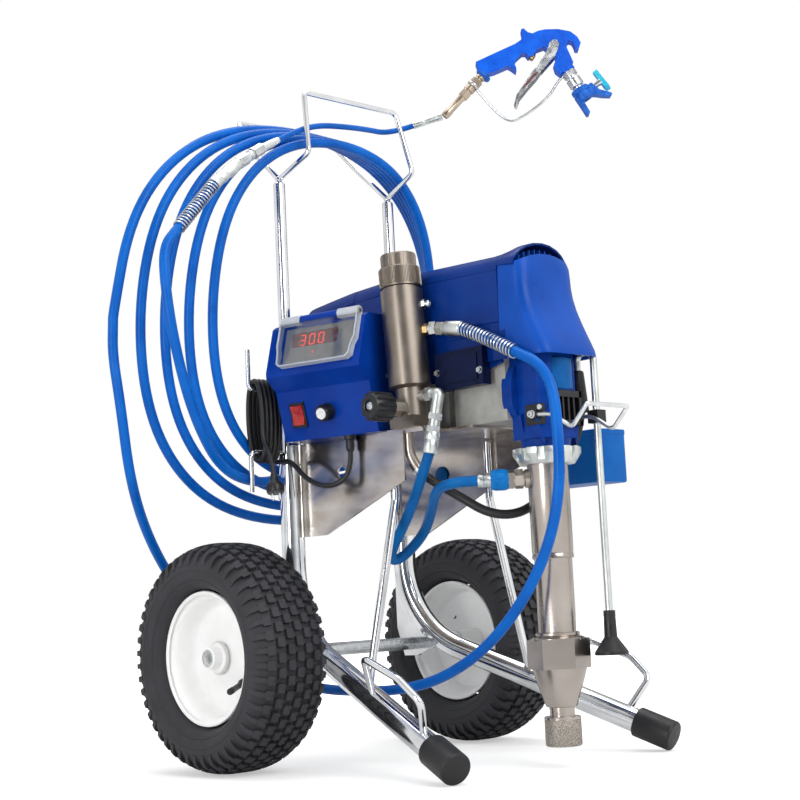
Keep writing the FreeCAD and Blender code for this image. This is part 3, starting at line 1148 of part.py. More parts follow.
grip_shape = slab(gun_half, [
    (-47, -124), (-16, -131), (-9, -86), (6.6, -80), (6.6, -75), (-9, -72), (-5, -27), (32, -21.5),
    (48, -21), (45, 7), (13.5, 13), (15, 24), (34, 25), (29, 35), (0, 34), (-29, -3), (-35, -30),
    (-54, -27), (-52, -32), (-37, -43)])
long_edges = [edge for edge in grip_shape.Edges if edge.BoundBox.YLength < 0.01 and edge.Length > 30]
grip_shape = grip_shape.makeChamfer(2.5, long_edges)
nodes.append(gun_keep("gun_body", grip_shape.cut(across_pin(3.05, 20))))
blade = slab(gun_half + 2.5, [
    (-6, 5), (6, 5), (13, -24), (25, -44), (46, -92), (58, -111), (52, -115), (36, -90),
    (14, -48), (2, -26)])
slot_cut = slab(gun_half + 0.5, [(-20, 20), (40, 20), (60, -60), (24, -62), (4, -46), (-20, -46)])
nodes.append(gun_keep("gun_trigger", blade.cut(slot_cut).fuse(across_pin(3, gun_half + 1))))

wire_path, wire_radii = corner_route(
    curve((50, 0, -14), (66, 0, -60), (72, 0, -132), (20, 0, -147), (-28, 0, -149)), 9)
barrel_axis = Vector(-30, 0, -126)
metal = tapered(Vector(48, 0, -8), Vector(84, 0, -11), 11, 11)
metal = metal.fuse(tube_along(wire_path, 2))
metal = metal.fuse(tapered(Vector(-31, 0, -128.5), Vector(-22, 0, -175), 9, 9))
metal = metal.fuse(tapered(Vector(-22, 0, -175), Vector(-15, 0, -219.5), 7, 6))
nodes.append(gun_keep("gun_metal", metal.cut(grip_shape)))
guard = tapered(Vector(84, 0, -11), Vector(106, 0, -12.83), 15, 15).fuse(slab(7, [
    (88, 2), (88, 10), (106, 14), (124, 27), (126, 22), (110, 4), (110, -20), (127, -22), (128, -29),
    (92, -26), (88, -18)]))
nodes.append(gun_keep("tip_guard", guard.cut(tapered(Vector(95, 0, -40), Vector(95, 0, 40), 5.05, 5.05))))
tip = tapered(Vector(95, 0, -20), Vector(95, 0, 24), 5, 5).fuse(
    Part.makeBox(40, 9, 8, Vector(75, -4.5, 24)))
nodes.append(gun_keep("spray_tip", tip))


def in_gun(x, z):
    """A point of the gun's middle plane, in the frame of the axle."""
    return GUN_TURN.multVec(Vector(x, 0, z)) + GUN_HOME.Base - HOME.Base


whip_end = in_gun(-32, -271)
whip_way = (whip_end - in_gun(-16, -221)).normalize()
hose("whip_hose", curve((-153, -40, 940), (-116, -40, 960.8), (-66, -34, 980), (-4, -26, 990),
                        (58, -10, 1000)) + [whip_end + whip_way * 42, whip_end], size("WhipRadius"))
ends = [
    tapered(Vector(-344, -40, 779), Vector(-277, -40, 854), 9.5, 9.5),
    tapered(Vector(-277, -40, 854), Vector(-231, -40, 892), 10, 10),
    tapered(Vector(-231, -40, 892), Vector(-185, -40, 922), 8, 8),
    tapered(Vector(-185, -40, 922), Vector(-153, -40, 940), 7, 5),
    tapered(Vector(-75, -432, 561), Vector(-75, -333, 608.5), 9.5, 9.5),
    tapered(Vector(-75, -333, 608.5), Vector(-75, -287.4, 615.5), 9, 9),
    tapered(in_gun(-16.3, -222.5), whip_end, 6, 6),
]
joined = ends[0]
for end in ends[1:4]:
    joined = joined.fuse(end)
nodes.append(keep("hose_ends", Part.makeCompound([joined, ends[4].fuse(ends[5]), ends[6]])))


# Check every piece, then write each one to its own file
doc.recompute()
for item in doc.Objects:
    for word in ("Invalid", "Error"):
        if word in item.State:
            raise RuntimeError(f"{item.Name} is {item.State}")
for node in nodes:
    if node.Shape.isNull() or not node.Shape.isValid():
        raise RuntimeError(f"{node.Label} has no valid shape")
    if not node.Shape.Solids:
        raise RuntimeError(f"{node.Label} has no solid")
for node in nodes:
    node.Shape.exportStep(f"parts/{node.Label}.step")
print(f"{len(nodes)} pieces written")
gun_box = FreeCAD.BoundBox()
for node in nodes:
    if node.Label in ("gun_body", "gun_metal", "gun_trigger", "tip_guard", "spray_tip"):
        gun_box.add(node.Shape.optimalBoundingBox(False))
print(f"gun reach {gun_box.XMax - axle_x:.2f}")
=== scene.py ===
# %% [markdown]
# # An airless paint sprayer on a two-wheeled cart
# A piston pump hangs in front of an electric motor on a chromed tube cart. A long paint hose is wound
# over a wire rack, and a spray gun stands out on a short whip hose at its end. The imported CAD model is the
# frame for everything here: each piece is made in its coordinates and rides on one of its bodies.

# %% The frame
import json
import math

import bmesh
import bpy
from mathutils import Matrix, Vector


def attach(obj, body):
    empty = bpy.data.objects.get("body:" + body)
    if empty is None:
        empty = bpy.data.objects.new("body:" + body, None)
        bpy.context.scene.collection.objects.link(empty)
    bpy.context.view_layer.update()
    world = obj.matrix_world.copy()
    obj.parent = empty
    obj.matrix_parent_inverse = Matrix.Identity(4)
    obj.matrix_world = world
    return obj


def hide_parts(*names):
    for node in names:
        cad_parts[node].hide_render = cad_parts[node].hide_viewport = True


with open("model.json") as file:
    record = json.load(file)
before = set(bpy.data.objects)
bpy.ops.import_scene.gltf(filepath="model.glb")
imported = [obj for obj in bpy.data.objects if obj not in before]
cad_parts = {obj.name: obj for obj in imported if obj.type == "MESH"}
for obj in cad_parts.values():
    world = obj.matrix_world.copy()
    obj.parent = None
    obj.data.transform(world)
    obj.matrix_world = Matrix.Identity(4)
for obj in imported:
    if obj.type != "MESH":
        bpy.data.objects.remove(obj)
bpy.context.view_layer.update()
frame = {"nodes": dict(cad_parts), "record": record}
nodes = frame["nodes"]

# %% [markdown]
# ## Two sets of coordinates
# The cart was drawn in millimetres with the axle at y 0 and the cart's middle at x 0. The CAD file then
# moves the whole model so that its box stands on the middle of the floor. Writing every place in the first
# set and moving it with one small function keeps the numbers short and the same as those in the source.

# %% Places in millimetres
MM = 0.001
AXLE_X = -41.25
AXLE_Y = 181.5


def at(x, y, z):
    """A place given in the cart's millimetres, in the frame's metres."""
    return Vector(((x + AXLE_X) * MM, (y + AXLE_Y) * MM, z * MM))


# %% [markdown]
# ## The camera
# The photograph was taken from the front left, a little above the floor and looking slightly up, with the
# camera tilted by almost three degrees. A camera is a matrix: its columns are where its right, its up and
# its back point. Building that matrix from three angles gives the same view without a target object.

# %% The camera
def in_scene(name, data):
    """A new object that shows some data, linked to the scene."""
    made = bpy.data.objects.new(name, data)
    bpy.context.scene.collection.objects.link(made)
    return made


AZIMUTH = math.radians(-43.354)
PITCH = math.radians(7.032)
ROLL = math.radians(-2.798)
CAMERA_PLACE = (-1666.9, -1886.6, 237.5)
SENSOR_WIDTH = 36
PICTURE_WIDTH = 800
FOCAL_LENGTH_IN_PIXELS = 1603.5
camera_data = bpy.data.cameras.new("camera")
camera_data.sensor_width = SENSOR_WIDTH
camera_data.lens = SENSOR_WIDTH * FOCAL_LENGTH_IN_PIXELS / PICTURE_WIDTH
camera_data.clip_end = 50
camera = in_scene("camera", camera_data)
forward = Vector((-math.sin(AZIMUTH) * math.cos(PITCH), math.cos(AZIMUTH) * math.cos(PITCH),
                  math.sin(PITCH)))
level_right = forward.cross(Vector((0, 0, 1))).normalized()
level_up = level_right.cross(forward)
right = level_right * math.cos(ROLL) + level_up * math.sin(ROLL)
up = level_up * math.cos(ROLL) - level_right * math.sin(ROLL)
turn = Matrix((right, up, -forward)).transposed()
camera.matrix_world = Matrix.Translation(at(*CAMERA_PLACE)) @ turn.to_4x4()
bpy.context.scene.camera = camera
print("camera at", [round(number, 3) for number in camera.matrix_world.translation])

# %% [markdown]
# ## The paint hose
# The real hose is about eleven metres of nylon-lined high-pressure hose, 15 mm across. It leaves a fitting
# under the motor, drops in front of the cart, passes between the wheels, and then goes round the rack
# almost five times before it ends in a steel ferrule. A NURBS curve gives such a line by nature, because it
# is smooth between its control points: the route's points are its controls. The turns are worked out from a
# squared circle that moves and shrinks a little with each turn.


# %% Points of the wound turns
def softened(number, power):
    """Flattens a circle's sides a little, as a hose lies on a rack."""
    return math.copysign(abs(number) ** power, number)


def hose_loop(turn):
    """A place on the hose's winding after some turns, each a little smaller than the last."""
    part = turn / 4
    left, right_end = -385 + 135 * part, 265 - 55 * part
    top, low = 990 - 27 * part, 348 + 82 * part
    angle = math.pi - 2 * math.pi * turn
    return Vector(((left + right_end) / 2 + (right_end - left) / 2 * softened(math.cos(angle), 0.86),
                   33 - 58 * part + 38 * (1 - math.sin(angle)),
                   (top + low) / 2 + (top - low) / 2 * softened(math.sin(angle), 0.86)))


def cord_loop(turn):
    """A place on the power cord's winding over its two rods, each turn outside the last."""
    angle = 2 * math.pi * turn - math.pi / 2
    return Vector((-139 - 8.2 * turn, 12 + 20 * softened(math.cos(angle), 0.9),
                   513 + 62 * softened(math.sin(angle), 0.9)))


def heading(route, turn):
    """The way that a winding runs at one of its turns."""
    return (route(turn + 0.001) - route(turn - 0.001)).normalized()


def winding(route, turns, steps):
    """Control points along a winding, steps to a turn."""
    count = round(turns * steps)
    return [route(turns * number / count) for number in range(count + 1)]


def cord_curve(name, points, radius, body):
    """A cord: one NURBS spline through its control points, with its radius in metres on each of them."""
    data = bpy.data.curves.new(name, "CURVE")
    data.dimensions = "3D"
    data.resolution_u = 8
    data.bevel_depth = 1.0  # the radius on each point scales this one metre
    data.bevel_resolution = 5
    data.use_fill_caps = True
    spline = data.splines.new("NURBS")
    spline.points.add(len(points) - 1)
    for control, point in zip(spline.points, points):
        control.co = (*at(*point), 1)
        control.radius = radius * MM
    spline.order_u = 3
    spline.use_endpoint_u = True
    cord = in_scene(name, data)
    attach(cord, body)
    return cord


# %% The paint hose
HOSE_RADIUS = 7.5
TURNS_WOUND = 4.75
hose_start = (-75, -333, 608.5)
start_way, end_way = heading(hose_loop, 0), heading(hose_loop, TURNS_WOUND)
feed = [Vector(point) for point in (
    hose_start, (-75, -384, 587), (-75, -432, 561), (-75, -473, 541.4), (-75, -496, 505), (-75, -500, 447),
    (-75, -498, 372), (-75, -474, 298), (-75, -424, 228), (-75, -350, 164), (-78, -262, 122),
    (-80, -175, 106), (-78, -85, 104), (-76, 5, 106), (-100, 92, 128), (-150, 160, 190), (-215, 176, 270),
    (-290, 138, 345), (-355, 84, 425), (-380, 66, 535))]
loop_start = hose_loop(0) - start_way * 15
tail_start = hose_loop(TURNS_WOUND) + end_way * 15
tail = [Vector(point) for point in (
    (-110, 35, 428), (-168, 31, 420), (-248, 8, 438), (-318, -26, 510), (-356, -40, 605), (-371, -42, 690),
    (-370.6, -40, 749), (-344, -40, 779), (-277, -40, 854))]
hose_points = (feed + [loop_start - start_way * 45, loop_start] + winding(hose_loop, TURNS_WOUND, 16)
               + [tail_start, tail_start + end_way * 30] + tail)
paint_hose = cord_curve("paint_hose", hose_points, HOSE_RADIUS, "sprayer")

# %% The whip hose
WHIP_RADIUS = 4.5
whip_start = (-153, -40, 940)
whip_end, whip_way = Vector((146.6, -29.6, 1016)), Vector((-0.698, 0.659, -0.279))
whip_points = [Vector(point) for point in (
    whip_start, (-116, -40, 960.8), (-66, -34, 980), (-4, -26, 990), (58, -10, 1000))]
whip_points += [whip_end + whip_way * 42, whip_end]
whip = cord_curve("whip_line", whip_points, WHIP_RADIUS, "sprayer")

# %% The power cord
CORD_RADIUS = 3.8
lead_way, tail_way = heading(cord_loop, 0), heading(cord_loop, TURNS_WOUND)
lead_end = cord_loop(0) - lead_way * 7.6
cord_tail = cord_loop(TURNS_WOUND) + tail_way * 7.6
BOX_CORNER = Vector((-103.9, -16.7, 0))
BOX_ANGLE = math.radians(192)
box_out = Vector((math.cos(BOX_ANGLE), math.sin(BOX_ANGLE), 0))
box_along = Vector((-math.sin(BOX_ANGLE), math.cos(BOX_ANGLE), 0))


def in_box(outward, along, height):
    """A place in the control box's own frame: away from the cart, forwards along the box, and up."""
    return BOX_CORNER + box_out * outward + box_along * along + Vector((0, 0, height))


lead_start = in_box(38, 113, 453)
cord_points = [lead_start, lead_start - Vector((0, 0, 30)), Vector((-134, -112, 402)),
               Vector((-142, -66, 414)), lead_end - lead_way * 26, lead_end]
cord_points += winding(cord_loop, TURNS_WOUND, 14)
cord_points += [cord_tail, cord_tail + tail_way * 24, Vector((-180, -28, 455)), Vector((-182, -34, 428))]
power_cord = cord_curve("power_cord", cord_points, CORD_RADIUS, "sprayer")


# %% Their lengths
def line_of(curve_object):
    """The points that a cord follows, read from its own spline without its thickness."""
    depth = curve_object.data.bevel_depth
    curve_object.data.bevel_depth = 0
    mesh = bpy.data.meshes.new_from_object(curve_object)
    curve_object.data.bevel_depth = depth
    points = [vertex.co.copy() for vertex in mesh.vertices]
    bpy.data.meshes.remove(mesh)
    return points


for cord in (paint_hose, whip, power_cord):
    points = line_of(cord)
    print(cord.name, "metres", round(sum((a - b).length for a, b in zip(points, points[1:])), 3))

# %% [markdown]
# ## Floor, backdrop and light
# The photograph is a packshot: the cart stands on white, with only a soft shadow. The floor is a pale
# sheet, and the world is plain white where the camera sees it. Metal shows what stands round it, so
# elsewhere the world is a studio with white ends and a grey wall between them: chrome gets its light and
# dark lines from those. Three large soft lamps stand for the studio's light boxes.


# %% Colours and nodes
def linear(code):
    """An sRGB colour such as C0D0E0 as the linear numbers that the renderer works in."""
    channels = [int(code[place:place + 2], 16) / 255 for place in (0, 2, 4)]
    return (*(part / 12.92 if part <= 0.04045 else ((part + 0.055) / 1.055) ** 2.4 for part in channels), 1)


def add(tree, kind, inputs=None, **settings):
    """Adds a node: settings are its own properties, inputs its sockets, as numbers or as other sockets."""
    node = tree.nodes.new(kind)
    for name, value in settings.items():
        setattr(node, name, value)
    for name, value in (inputs or {}).items():
        if isinstance(value, bpy.types.NodeSocket):
            tree.links.new(value, node.inputs[name])
        else:
            node.inputs[name].default_value = value
    return node


# %% World
TO_FRONT_RIGHT = (0.62, -0.78, 0.1)
WALL_TONES = ((0.0, "F4F4F4"), (0.15, "E4E4E4"), (0.3, "707276"), (0.58, "7A7C80"), (0.7, "B4B6B9"),
              (0.86, "F4F5F6"))
world = bpy.data.worlds.new("studio")
bpy.context.scene.world = world
world.use_nodes = True
tree = world.node_tree
tree.nodes.clear()
path = add(tree, "ShaderNodeLightPath")
spread = add(tree, "ShaderNodeTexCoord")
split = add(tree, "ShaderNodeSeparateXYZ", {0: spread.outputs["Generated"]})
front_right = add(tree, "ShaderNodeVectorMath", {0: spread.outputs["Generated"], 1: TO_FRONT_RIGHT},
                  operation="DOT_PRODUCT")
round_the_room = add(tree, "ShaderNodeMapRange", {"Value": front_right.outputs["Value"], "From Min": -1.0,
                                                  "From Max": 1.0})
walls = add(tree, "ShaderNodeValToRGB", {0: round_the_room.outputs[0]})
for position, grey in WALL_TONES:
    stop = walls.color_ramp.elements.new(position) if position else walls.color_ramp.elements[0]
    stop.position, stop.color = position, linear(grey)
high = add(tree, "ShaderNodeMapRange", {"Value": split.outputs["Z"], "From Min": 0.5, "From Max": 0.85})
room = add(tree, "ShaderNodeMix", {"Factor": high.outputs[0], 6: walls.outputs["Color"],
                                   7: linear("FFFFFF")}, data_type="RGBA")
studio = add(tree, "ShaderNodeBackground", {"Color": room.outputs[2], "Strength": 1.0})
white = add(tree, "ShaderNodeBackground", {"Color": linear("FFFFFF"), "Strength": 1.0})
which = add(tree, "ShaderNodeMixShader", {0: path.outputs["Is Camera Ray"], 1: studio.outputs[0],
                                          2: white.outputs[0]})
add(tree, "ShaderNodeOutputWorld", {"Surface": which.outputs[0]})
print("tones round the world's walls:", len(WALL_TONES))


# %% Floor
def sheet_of_stage(name, corners, colour):
    """A flat sheet that shows pale to the camera and to reflections, and keeps the shadows on it."""
    mesh = bpy.data.meshes.new(name)
    mesh.from_pydata([Vector(corner) for corner in corners], [], [(0, 1, 2, 3)])
    sheet = in_scene(name, mesh)
    material = bpy.data.materials.new(name + "_paper")
    material.use_nodes = True
    tree = material.node_tree
    shader = tree.nodes["Principled BSDF"]
    shader.inputs["Base Color"].default_value = linear(colour)
    shader.inputs["Roughness"].default_value = 0.9
    shader.inputs["Specular IOR Level"].default_value = 0.1
    path = add(tree, "ShaderNodeLightPath")
    coordinates = add(tree, "ShaderNodeTexCoord")
    distance = add(tree, "ShaderNodeVectorMath", {0: coordinates.outputs["Object"]}, operation="LENGTH")
    fade = add(tree, "ShaderNodeMapRange", {"Value": distance.outputs["Value"], "From Min": 0.7,
                                            "From Max": 2.2, "To Min": 0.45, "To Max": 1.0})
    glow = add(tree, "ShaderNodeEmission", {"Color": linear("FFFFFF"), "Strength": fade.outputs[0]})
    mirrored = add(tree, "ShaderNodeEmission", {"Color": linear("FFFFFF"), "Strength": 0.1})
    nothing = add(tree, "ShaderNodeEmission", {"Strength": 0.0})
    seen = add(tree, "ShaderNodeMath", {0: path.outputs["Is Camera Ray"],
                                        1: path.outputs["Is Transmission Ray"]}, operation="MAXIMUM")
    dim = add(tree, "ShaderNodeMixShader", {0: path.outputs["Is Glossy Ray"], 1: nothing.outputs[0],
                                            2: mirrored.outputs[0]})
    lift = add(tree, "ShaderNodeMixShader", {0: seen.outputs[0], 1: dim.outputs[0], 2: glow.outputs[0]})
    both = add(tree, "ShaderNodeAddShader", {0: shader.outputs[0], 1: lift.outputs[0]})
    tree.links.new(both.outputs[0], tree.nodes["Material Output"].inputs["Surface"])
    mesh.materials.append(material)
    return sheet


REACH, DROP = 9, -0.0005
floor = sheet_of_stage("floor", ((-REACH, -REACH, DROP), (REACH, -REACH, DROP), (REACH, REACH, DROP),
                                 (-REACH, REACH, DROP)), "D9D9D8")
print(floor.name, "metres across", REACH * 2)


# %% Lamps
def soft_box(name, place, toward, width, height, power):
    """A rectangular lamp that faces a place on the cart."""
    data = bpy.data.lights.new(name, "AREA")
    data.shape = "RECTANGLE"
    data.size, data.size_y, data.energy = width, height, power
    lamp = in_scene(name, data)
    lamp.location = place
    lamp.rotation_euler = (Vector(toward) - Vector(place)).to_track_quat("-Z", "Y").to_euler()
    print(name, "lamp", power, "W")


soft_box("key", (-0.6, -3.4, 2.4), (0, 0, 0.5), 2.4, 2.0, 70)
soft_box("side", (-3.2, -0.6, 0.7), (0, 0, 0.2), 0.7, 1.8, 34)
soft_box("top", (0.2, 0.4, 3.6), (0, 0, 0.4), 2.6, 2.6, 40)
bpy.context.scene.view_settings.view_transform = "Standard"

# %% [markdown]
# ## Finishes
# A real surface is never one flat colour. Each finish below starts from what the real one is and how its
# surface was made, and gets three things from noise on the object's own coordinates: a small change of
# colour, a change of roughness where hands and dust have been, and a relief as deep as the real one.
# The sizes are in millimetres, so that the patterns stay at the scale of the part.


# %% Building blocks of a finish
def start(name, colour, metallic=0.0, roughness=0.5, **sockets):
    """A new material with its even values set on the shader's own sockets."""
    material = bpy.data.materials.new(name)
    material.use_nodes = True
    tree = material.node_tree
    shader = tree.nodes["Principled BSDF"]
    shader.inputs["Base Color"].default_value = linear(colour)
    shader.inputs["Metallic"].default_value = metallic
    shader.inputs["Roughness"].default_value = roughness
    for socket_name, value in sockets.items():
        shader.inputs[socket_name.replace("_", " ")].default_value = value
    return material, tree, shader


def grain(tree, size, stretch=(1, 1, 1), detail=3.0):
    """Noise on object coordinates: blotches of a size in millimetres, longer where stretch is above one."""
    coordinates = add(tree, "ShaderNodeTexCoord")
    scale = [1 / (size * MM * part) for part in stretch]
    mapped = add(tree, "ShaderNodeMapping", {"Vector": coordinates.outputs["Object"], "Scale": scale})
    return add(tree, "ShaderNodeTexNoise", {"Vector": mapped.outputs[0], "Scale": 1.0,
                                            "Detail": detail}).outputs[0]


def tint(tree, shader, factor, low, high, start_at=0.3, end_at=0.7):
    """Colours that follow a pattern."""
    ramp = add(tree, "ShaderNodeValToRGB", {"Fac": factor})
    ramp.color_ramp.elements[0].position, ramp.color_ramp.elements[0].color = start_at, linear(low)
    ramp.color_ramp.elements[1].position, ramp.color_ramp.elements[1].color = end_at, linear(high)
    tree.links.new(ramp.outputs["Color"], shader.inputs["Base Color"])


def polish(tree, shader, factor, low, high):
    """Roughness between two values that follows a pattern."""
    mapped = add(tree, "ShaderNodeMapRange", {"Value": factor, "From Min": 0.3, "From Max": 0.7,
                                              "To Min": low, "To Max": high})
    tree.links.new(mapped.outputs[0], shader.inputs["Roughness"])


def relief(tree, shader, height, depth):
    """Bumps of a depth in millimetres."""
    bump = add(tree, "ShaderNodeBump", {"Height": height, "Distance": depth * MM, "Strength": 1.0})
    tree.links.new(bump.outputs[0], shader.inputs["Normal"])


def mixture(name, low, high, blotch, fine, depth, rough, metallic=0.0, stretch=(1, 1, 1), **sockets):
    """The usual finish: two colours, the millimetres of its blotches, of its grain and of the grain's depth,
    and the least and the most of its roughness."""
    material, tree, shader = start(name, low, metallic, rough[0], **sockets)
    wide = grain(tree, blotch)
    tint(tree, shader, wide, low, high)
    polish(tree, shader, wide, *rough)
    relief(tree, shader, grain(tree, fine, stretch, 2.0), depth)
    return material


# %% [markdown]
# ## Metals
# Chromed steel tube is almost a mirror, so its roughness is very low and the lamps draw it. The pump and
# the filter are nickel plated: a warm grey with rings left by the lathe. The side plates are stainless
# sheet brushed along its length, with scuffs from handling. Rings and brushing are noise stretched 40 to 60
# times. The real lines are too fine for the picture, so they are drawn half a millimetre wide to show.

# %% Metals
LATHE_RINGS = (40, 40, 1)
# Bent steel tube with hard chrome: nearly a mirror, it shows the lamps as long bright lines.
chrome = mixture("chromed_steel_tube", "D9DBDD", "F4F5F6", 45, 9, 0.012, (0.05, 0.13), 1.0)
# Pressed and turned steel with bright zinc: a cool cloudy grey with soft highlights.
zinc = mixture("bright_zinc_plate", "B4B8BA", "D6D9DA", 12, 1.2, 0.015, (0.2, 0.36), 1.0)
# Bare cast alloy: pale, a little green, with a fine cast grain.
pale_alloy = mixture("cast_pale_alloy", "CDD2CE", "E0E4E1", 18, 1.6, 0.04, (0.3, 0.42), 1.0)
# Turned steel with satin nickel: warm grey, its highlights spread along the lathe's rings.
nickel = mixture("satin_nickel_plate", "B0A69C", "C6BDB3", 40, 0.5, 0.008, (0.26, 0.34), 1.0, LATHE_RINGS)
# The filter's duller nickel: brown grey, with one broad soft highlight down its length.
filter_plate = mixture("dull_nickel_plate", "7A7269", "8C8379", 40, 0.5, 0.01, (0.34, 0.42), 1.0,
                       LATHE_RINGS)
# Pressed metal grains of the strainer: dark pores and bright specks about a millimetre apart.
sintered = mixture("sintered_strainer_mesh", "5E564D", "D2CAC0", 1.4, 1.1, 0.5, (0.35, 0.5), 1.0)
# The pump's brighter nickel: smooth, warm and clear, with rings that hardly show.
pump_nickel = mixture("turned_nickel_plate", "A79F98", "BEB5AE", 60, 0.5, 0.006, (0.2, 0.28), 1.0,
                      LATHE_RINGS)
# Turned brass, a little tarnished: dull gold.
brass = mixture("turned_brass", "A98B5E", "C6AD80", 8, 0.5, 0.01, (0.24, 0.4), 1.0)
# The gun swivel's nickel over brass: it shines warm, between silver and gold.
champagne = mixture("champagne_nickel_plate", "B4A28E", "CBBBA8", 24, 0.6, 0.01, (0.22, 0.32), 1.0)
# Steel polished on a wheel, on the trigger and its guard: bright, with clear reflections.
polished_steel = mixture("polished_steel", "C4C6C8", "E2E4E5", 12, 0.8, 0.01, (0.12, 0.22), 1.0)
# Spring wire with nickel: it looks nearly white, because its gloss is blurred.
hook_steel = mixture("nickeled_spring_wire", "DCDEDE", "EEF0F0", 14, 0.8, 0.01, (0.3, 0.42), 1.0)

# Brushed stainless sheet: fine lines along it, and wide scuffs where the gloss and the tone change.
plate_steel, tree, shader = start("brushed_stainless_sheet", "A8A099", 1.0, 0.3)
brushed = grain(tree, 0.6, (1, 60, 1), 4.0)
scuffs = grain(tree, 34, (1, 2.5, 1), 6.0)
tint(tree, shader, scuffs, "B9AFA6", "DAD2CA", 0.38, 0.62)
polish(tree, shader, scuffs, 0.15, 0.27)
relief(tree, shader, brushed, 0.02)
print("metals:", sum(material.node_tree.nodes["Principled BSDF"].inputs["Metallic"].default_value > 0
                     for material in bpy.data.materials))

# %% [markdown]
# ## Paint, plastic and rubber
# The casting is enamelled aluminium, whose sand-cast skin shows through the gloss. The cover and the
# control box are glossy moulded ABS, the rocker is a clear red plastic, and the hose has a smooth blue
# polyurethane jacket over its braid. Rubber is dull, and its grey bloom comes out on the tyres' edges. In a
# white studio a full specular level would veil a deep blue, so the blues have a low one.

# %% Paint
DEEP = {"Specular_IOR_Level": 0.15}
# Enamel over a sand casting: a strong blue gloss on a skin that is lumpy at two millimetres.
casting_blue = mixture("enamelled_sand_casting", "033082", "083F9A", 26, 2.2, 0.16, (0.28, 0.42), **DEEP)
# A bare die casting: matt mid grey, cloudy.
motor_grey = mixture("grey_die_casting", "8F8F8B", "ABAAA5", 26, 1.6, 0.1, (0.4, 0.56))
# The casting's enamel on the gear boss: glossier and smoother, and painted lighter as painted light.
boss_blue_painted_lit = mixture("enamelled_boss_painted_lit", "045090", "0A60A6", 22, 2.0, 0.1, (0.26, 0.38), **DEEP)
# Anodised aluminium of the gun: a vivid blue with an even satin gloss.
gun_blue = mixture("anodised_blue_gun", "0450C6", "0862E0", 24, 0.9, 0.02, (0.26, 0.38), **DEEP)
# Powder coat on the rims: warm white, with the faint orange peel of the baked powder.
rim_white = mixture("white_powder_coat", "F6F6F5", "FDFDFC", 30, 1.2, 0.03, (0.3, 0.44))
# A printed overlay behind the display: flat warm grey.
panel_grey = mixture("printed_grey_overlay", "7C7977", "94918E", 16, 0.8, 0.01, (0.3, 0.42))

# %% Moulded plastics
# The motor cover's ABS: deep blue, glossy, with the slow waves of a large moulding.
cover_blue = mixture("glossy_moulded_cover", "03276E", "063484", 90, 18, 0.05, (0.16, 0.26), **DEEP)
# The nose is a second moulding, a little more matt, in the cover's blue painted lighter as painted light.
nose_blue_painted_lit = mixture("glossy_moulded_nose_painted_lit", "08429A", "104DAE", 70, 16, 0.06, (0.26, 0.38), **DEEP)
# The control box's ABS: as glossy as the cover, between the two in tone.
box_blue = mixture("glossy_moulded_box", "04308A", "083C9C", 60, 14, 0.03, (0.16, 0.26), **DEEP)
# Nylon of the sleeve nut: sky blue, softly shining.
sleeve_blue = mixture("blue_sleeve_nut", "0868B0", "1480CC", 12, 0.8, 0.03, (0.34, 0.46), **DEEP)
# The terminal block: the cover's blue plastic painted almost black, as painted shade under the cover.
terminal_blue_painted_shade = mixture("cover_blue_painted_shade", "020C2C", "04133A", 20, 1.4, 0.04, (0.26, 0.4), **DEEP)
# Nylon of the tip guard: mid blue, a little chalky.
guard_blue = mixture("moulded_blue_guard", "1450B0", "2870CC", 10, 0.9, 0.03, (0.34, 0.46), **DEEP)
# The tip's handle: teal plastic that lets a little light in.
tip_teal = mixture("moulded_teal_handle", "08A2C6", "1CC0DC", 9, 0.8, 0.03, (0.26, 0.4),
                   Subsurface_Weight=0.1, Subsurface_Scale=0.002)
# Blow-moulded polythene of the bin: even blue with a waxy sheen.
tool_blue = mixture("blown_blue_bin", "0255A4", "0665B6", 50, 1.8, 0.08, (0.34, 0.48), **DEEP)
# The pressure knob's cap: clean white plastic.
white_plastic = mixture("white_moulded_cap", "DDDEDF", "F0F1F1", 6, 0.7, 0.02, (0.25, 0.38))
# The rocker: red plastic that light goes into, under a glossy skin.
red_plastic = mixture("clear_red_rocker", "8E0E08", "C02216", 6, 1.0, 0.02, (0.12, 0.22), Coat_Weight=0.5,
                      Subsurface_Weight=0.2, Subsurface_Scale=0.002)
# The insert of the trigger: a dull dark red.
trigger_red = mixture("dark_red_trigger_insert", "5A2A2C", "6E3A3A", 8, 0.8, 0.02, (0.3, 0.42))
# Nylon with a spark-eroded texture: black, matt in fine specks.
black_plastic = mixture("spark_textured_black_nylon", "0C0C0E", "1B1B1E", 12, 0.6, 0.05, (0.32, 0.5))
# The filter glass before the digits: brown red and dark.
smoked_window = mixture("smoked_display_window", "5A3430", "7A4A44", 14, 0.8, 0.01, (0.2, 0.3))

# %% Rubber and hoses
# Tyre rubber: near black, dusty grey on its blocks, with a coarse moulded skin.
tyre_rubber = mixture("turf_tyre_rubber", "1A1A1D", "34343A", 38, 0.9, 0.16, (0.56, 0.8))
# Soft rubber and PVC of the cord, the caps and the drain hose: black with a low sheen.
black_rubber = mixture("black_pvc_rubber", "0B0B0D", "1C1C1F", 22, 0.8, 0.05, (0.36, 0.55))
# The paint hose's jacket: saturated blue, smooth, with slow changes of gloss along it.
hose_blue, tree, shader = start("blue_hose_jacket", "0450A4", 0.0, 0.3, **DEEP)
wide = grain(tree, 60)
tint(tree, shader, wide, "0254AC", "0666C4")
polish(tree, shader, wide, 0.24, 0.4)
relief(tree, shader, grain(tree, 1.6, (1, 1, 1), 1.0), 0.03)
# The short hose's jacket: a lighter sky blue.
short_hose = mixture("sky_blue_hose_jacket", "045698", "0A68AE", 40, 1.4, 0.03, (0.28, 0.42), **DEEP)

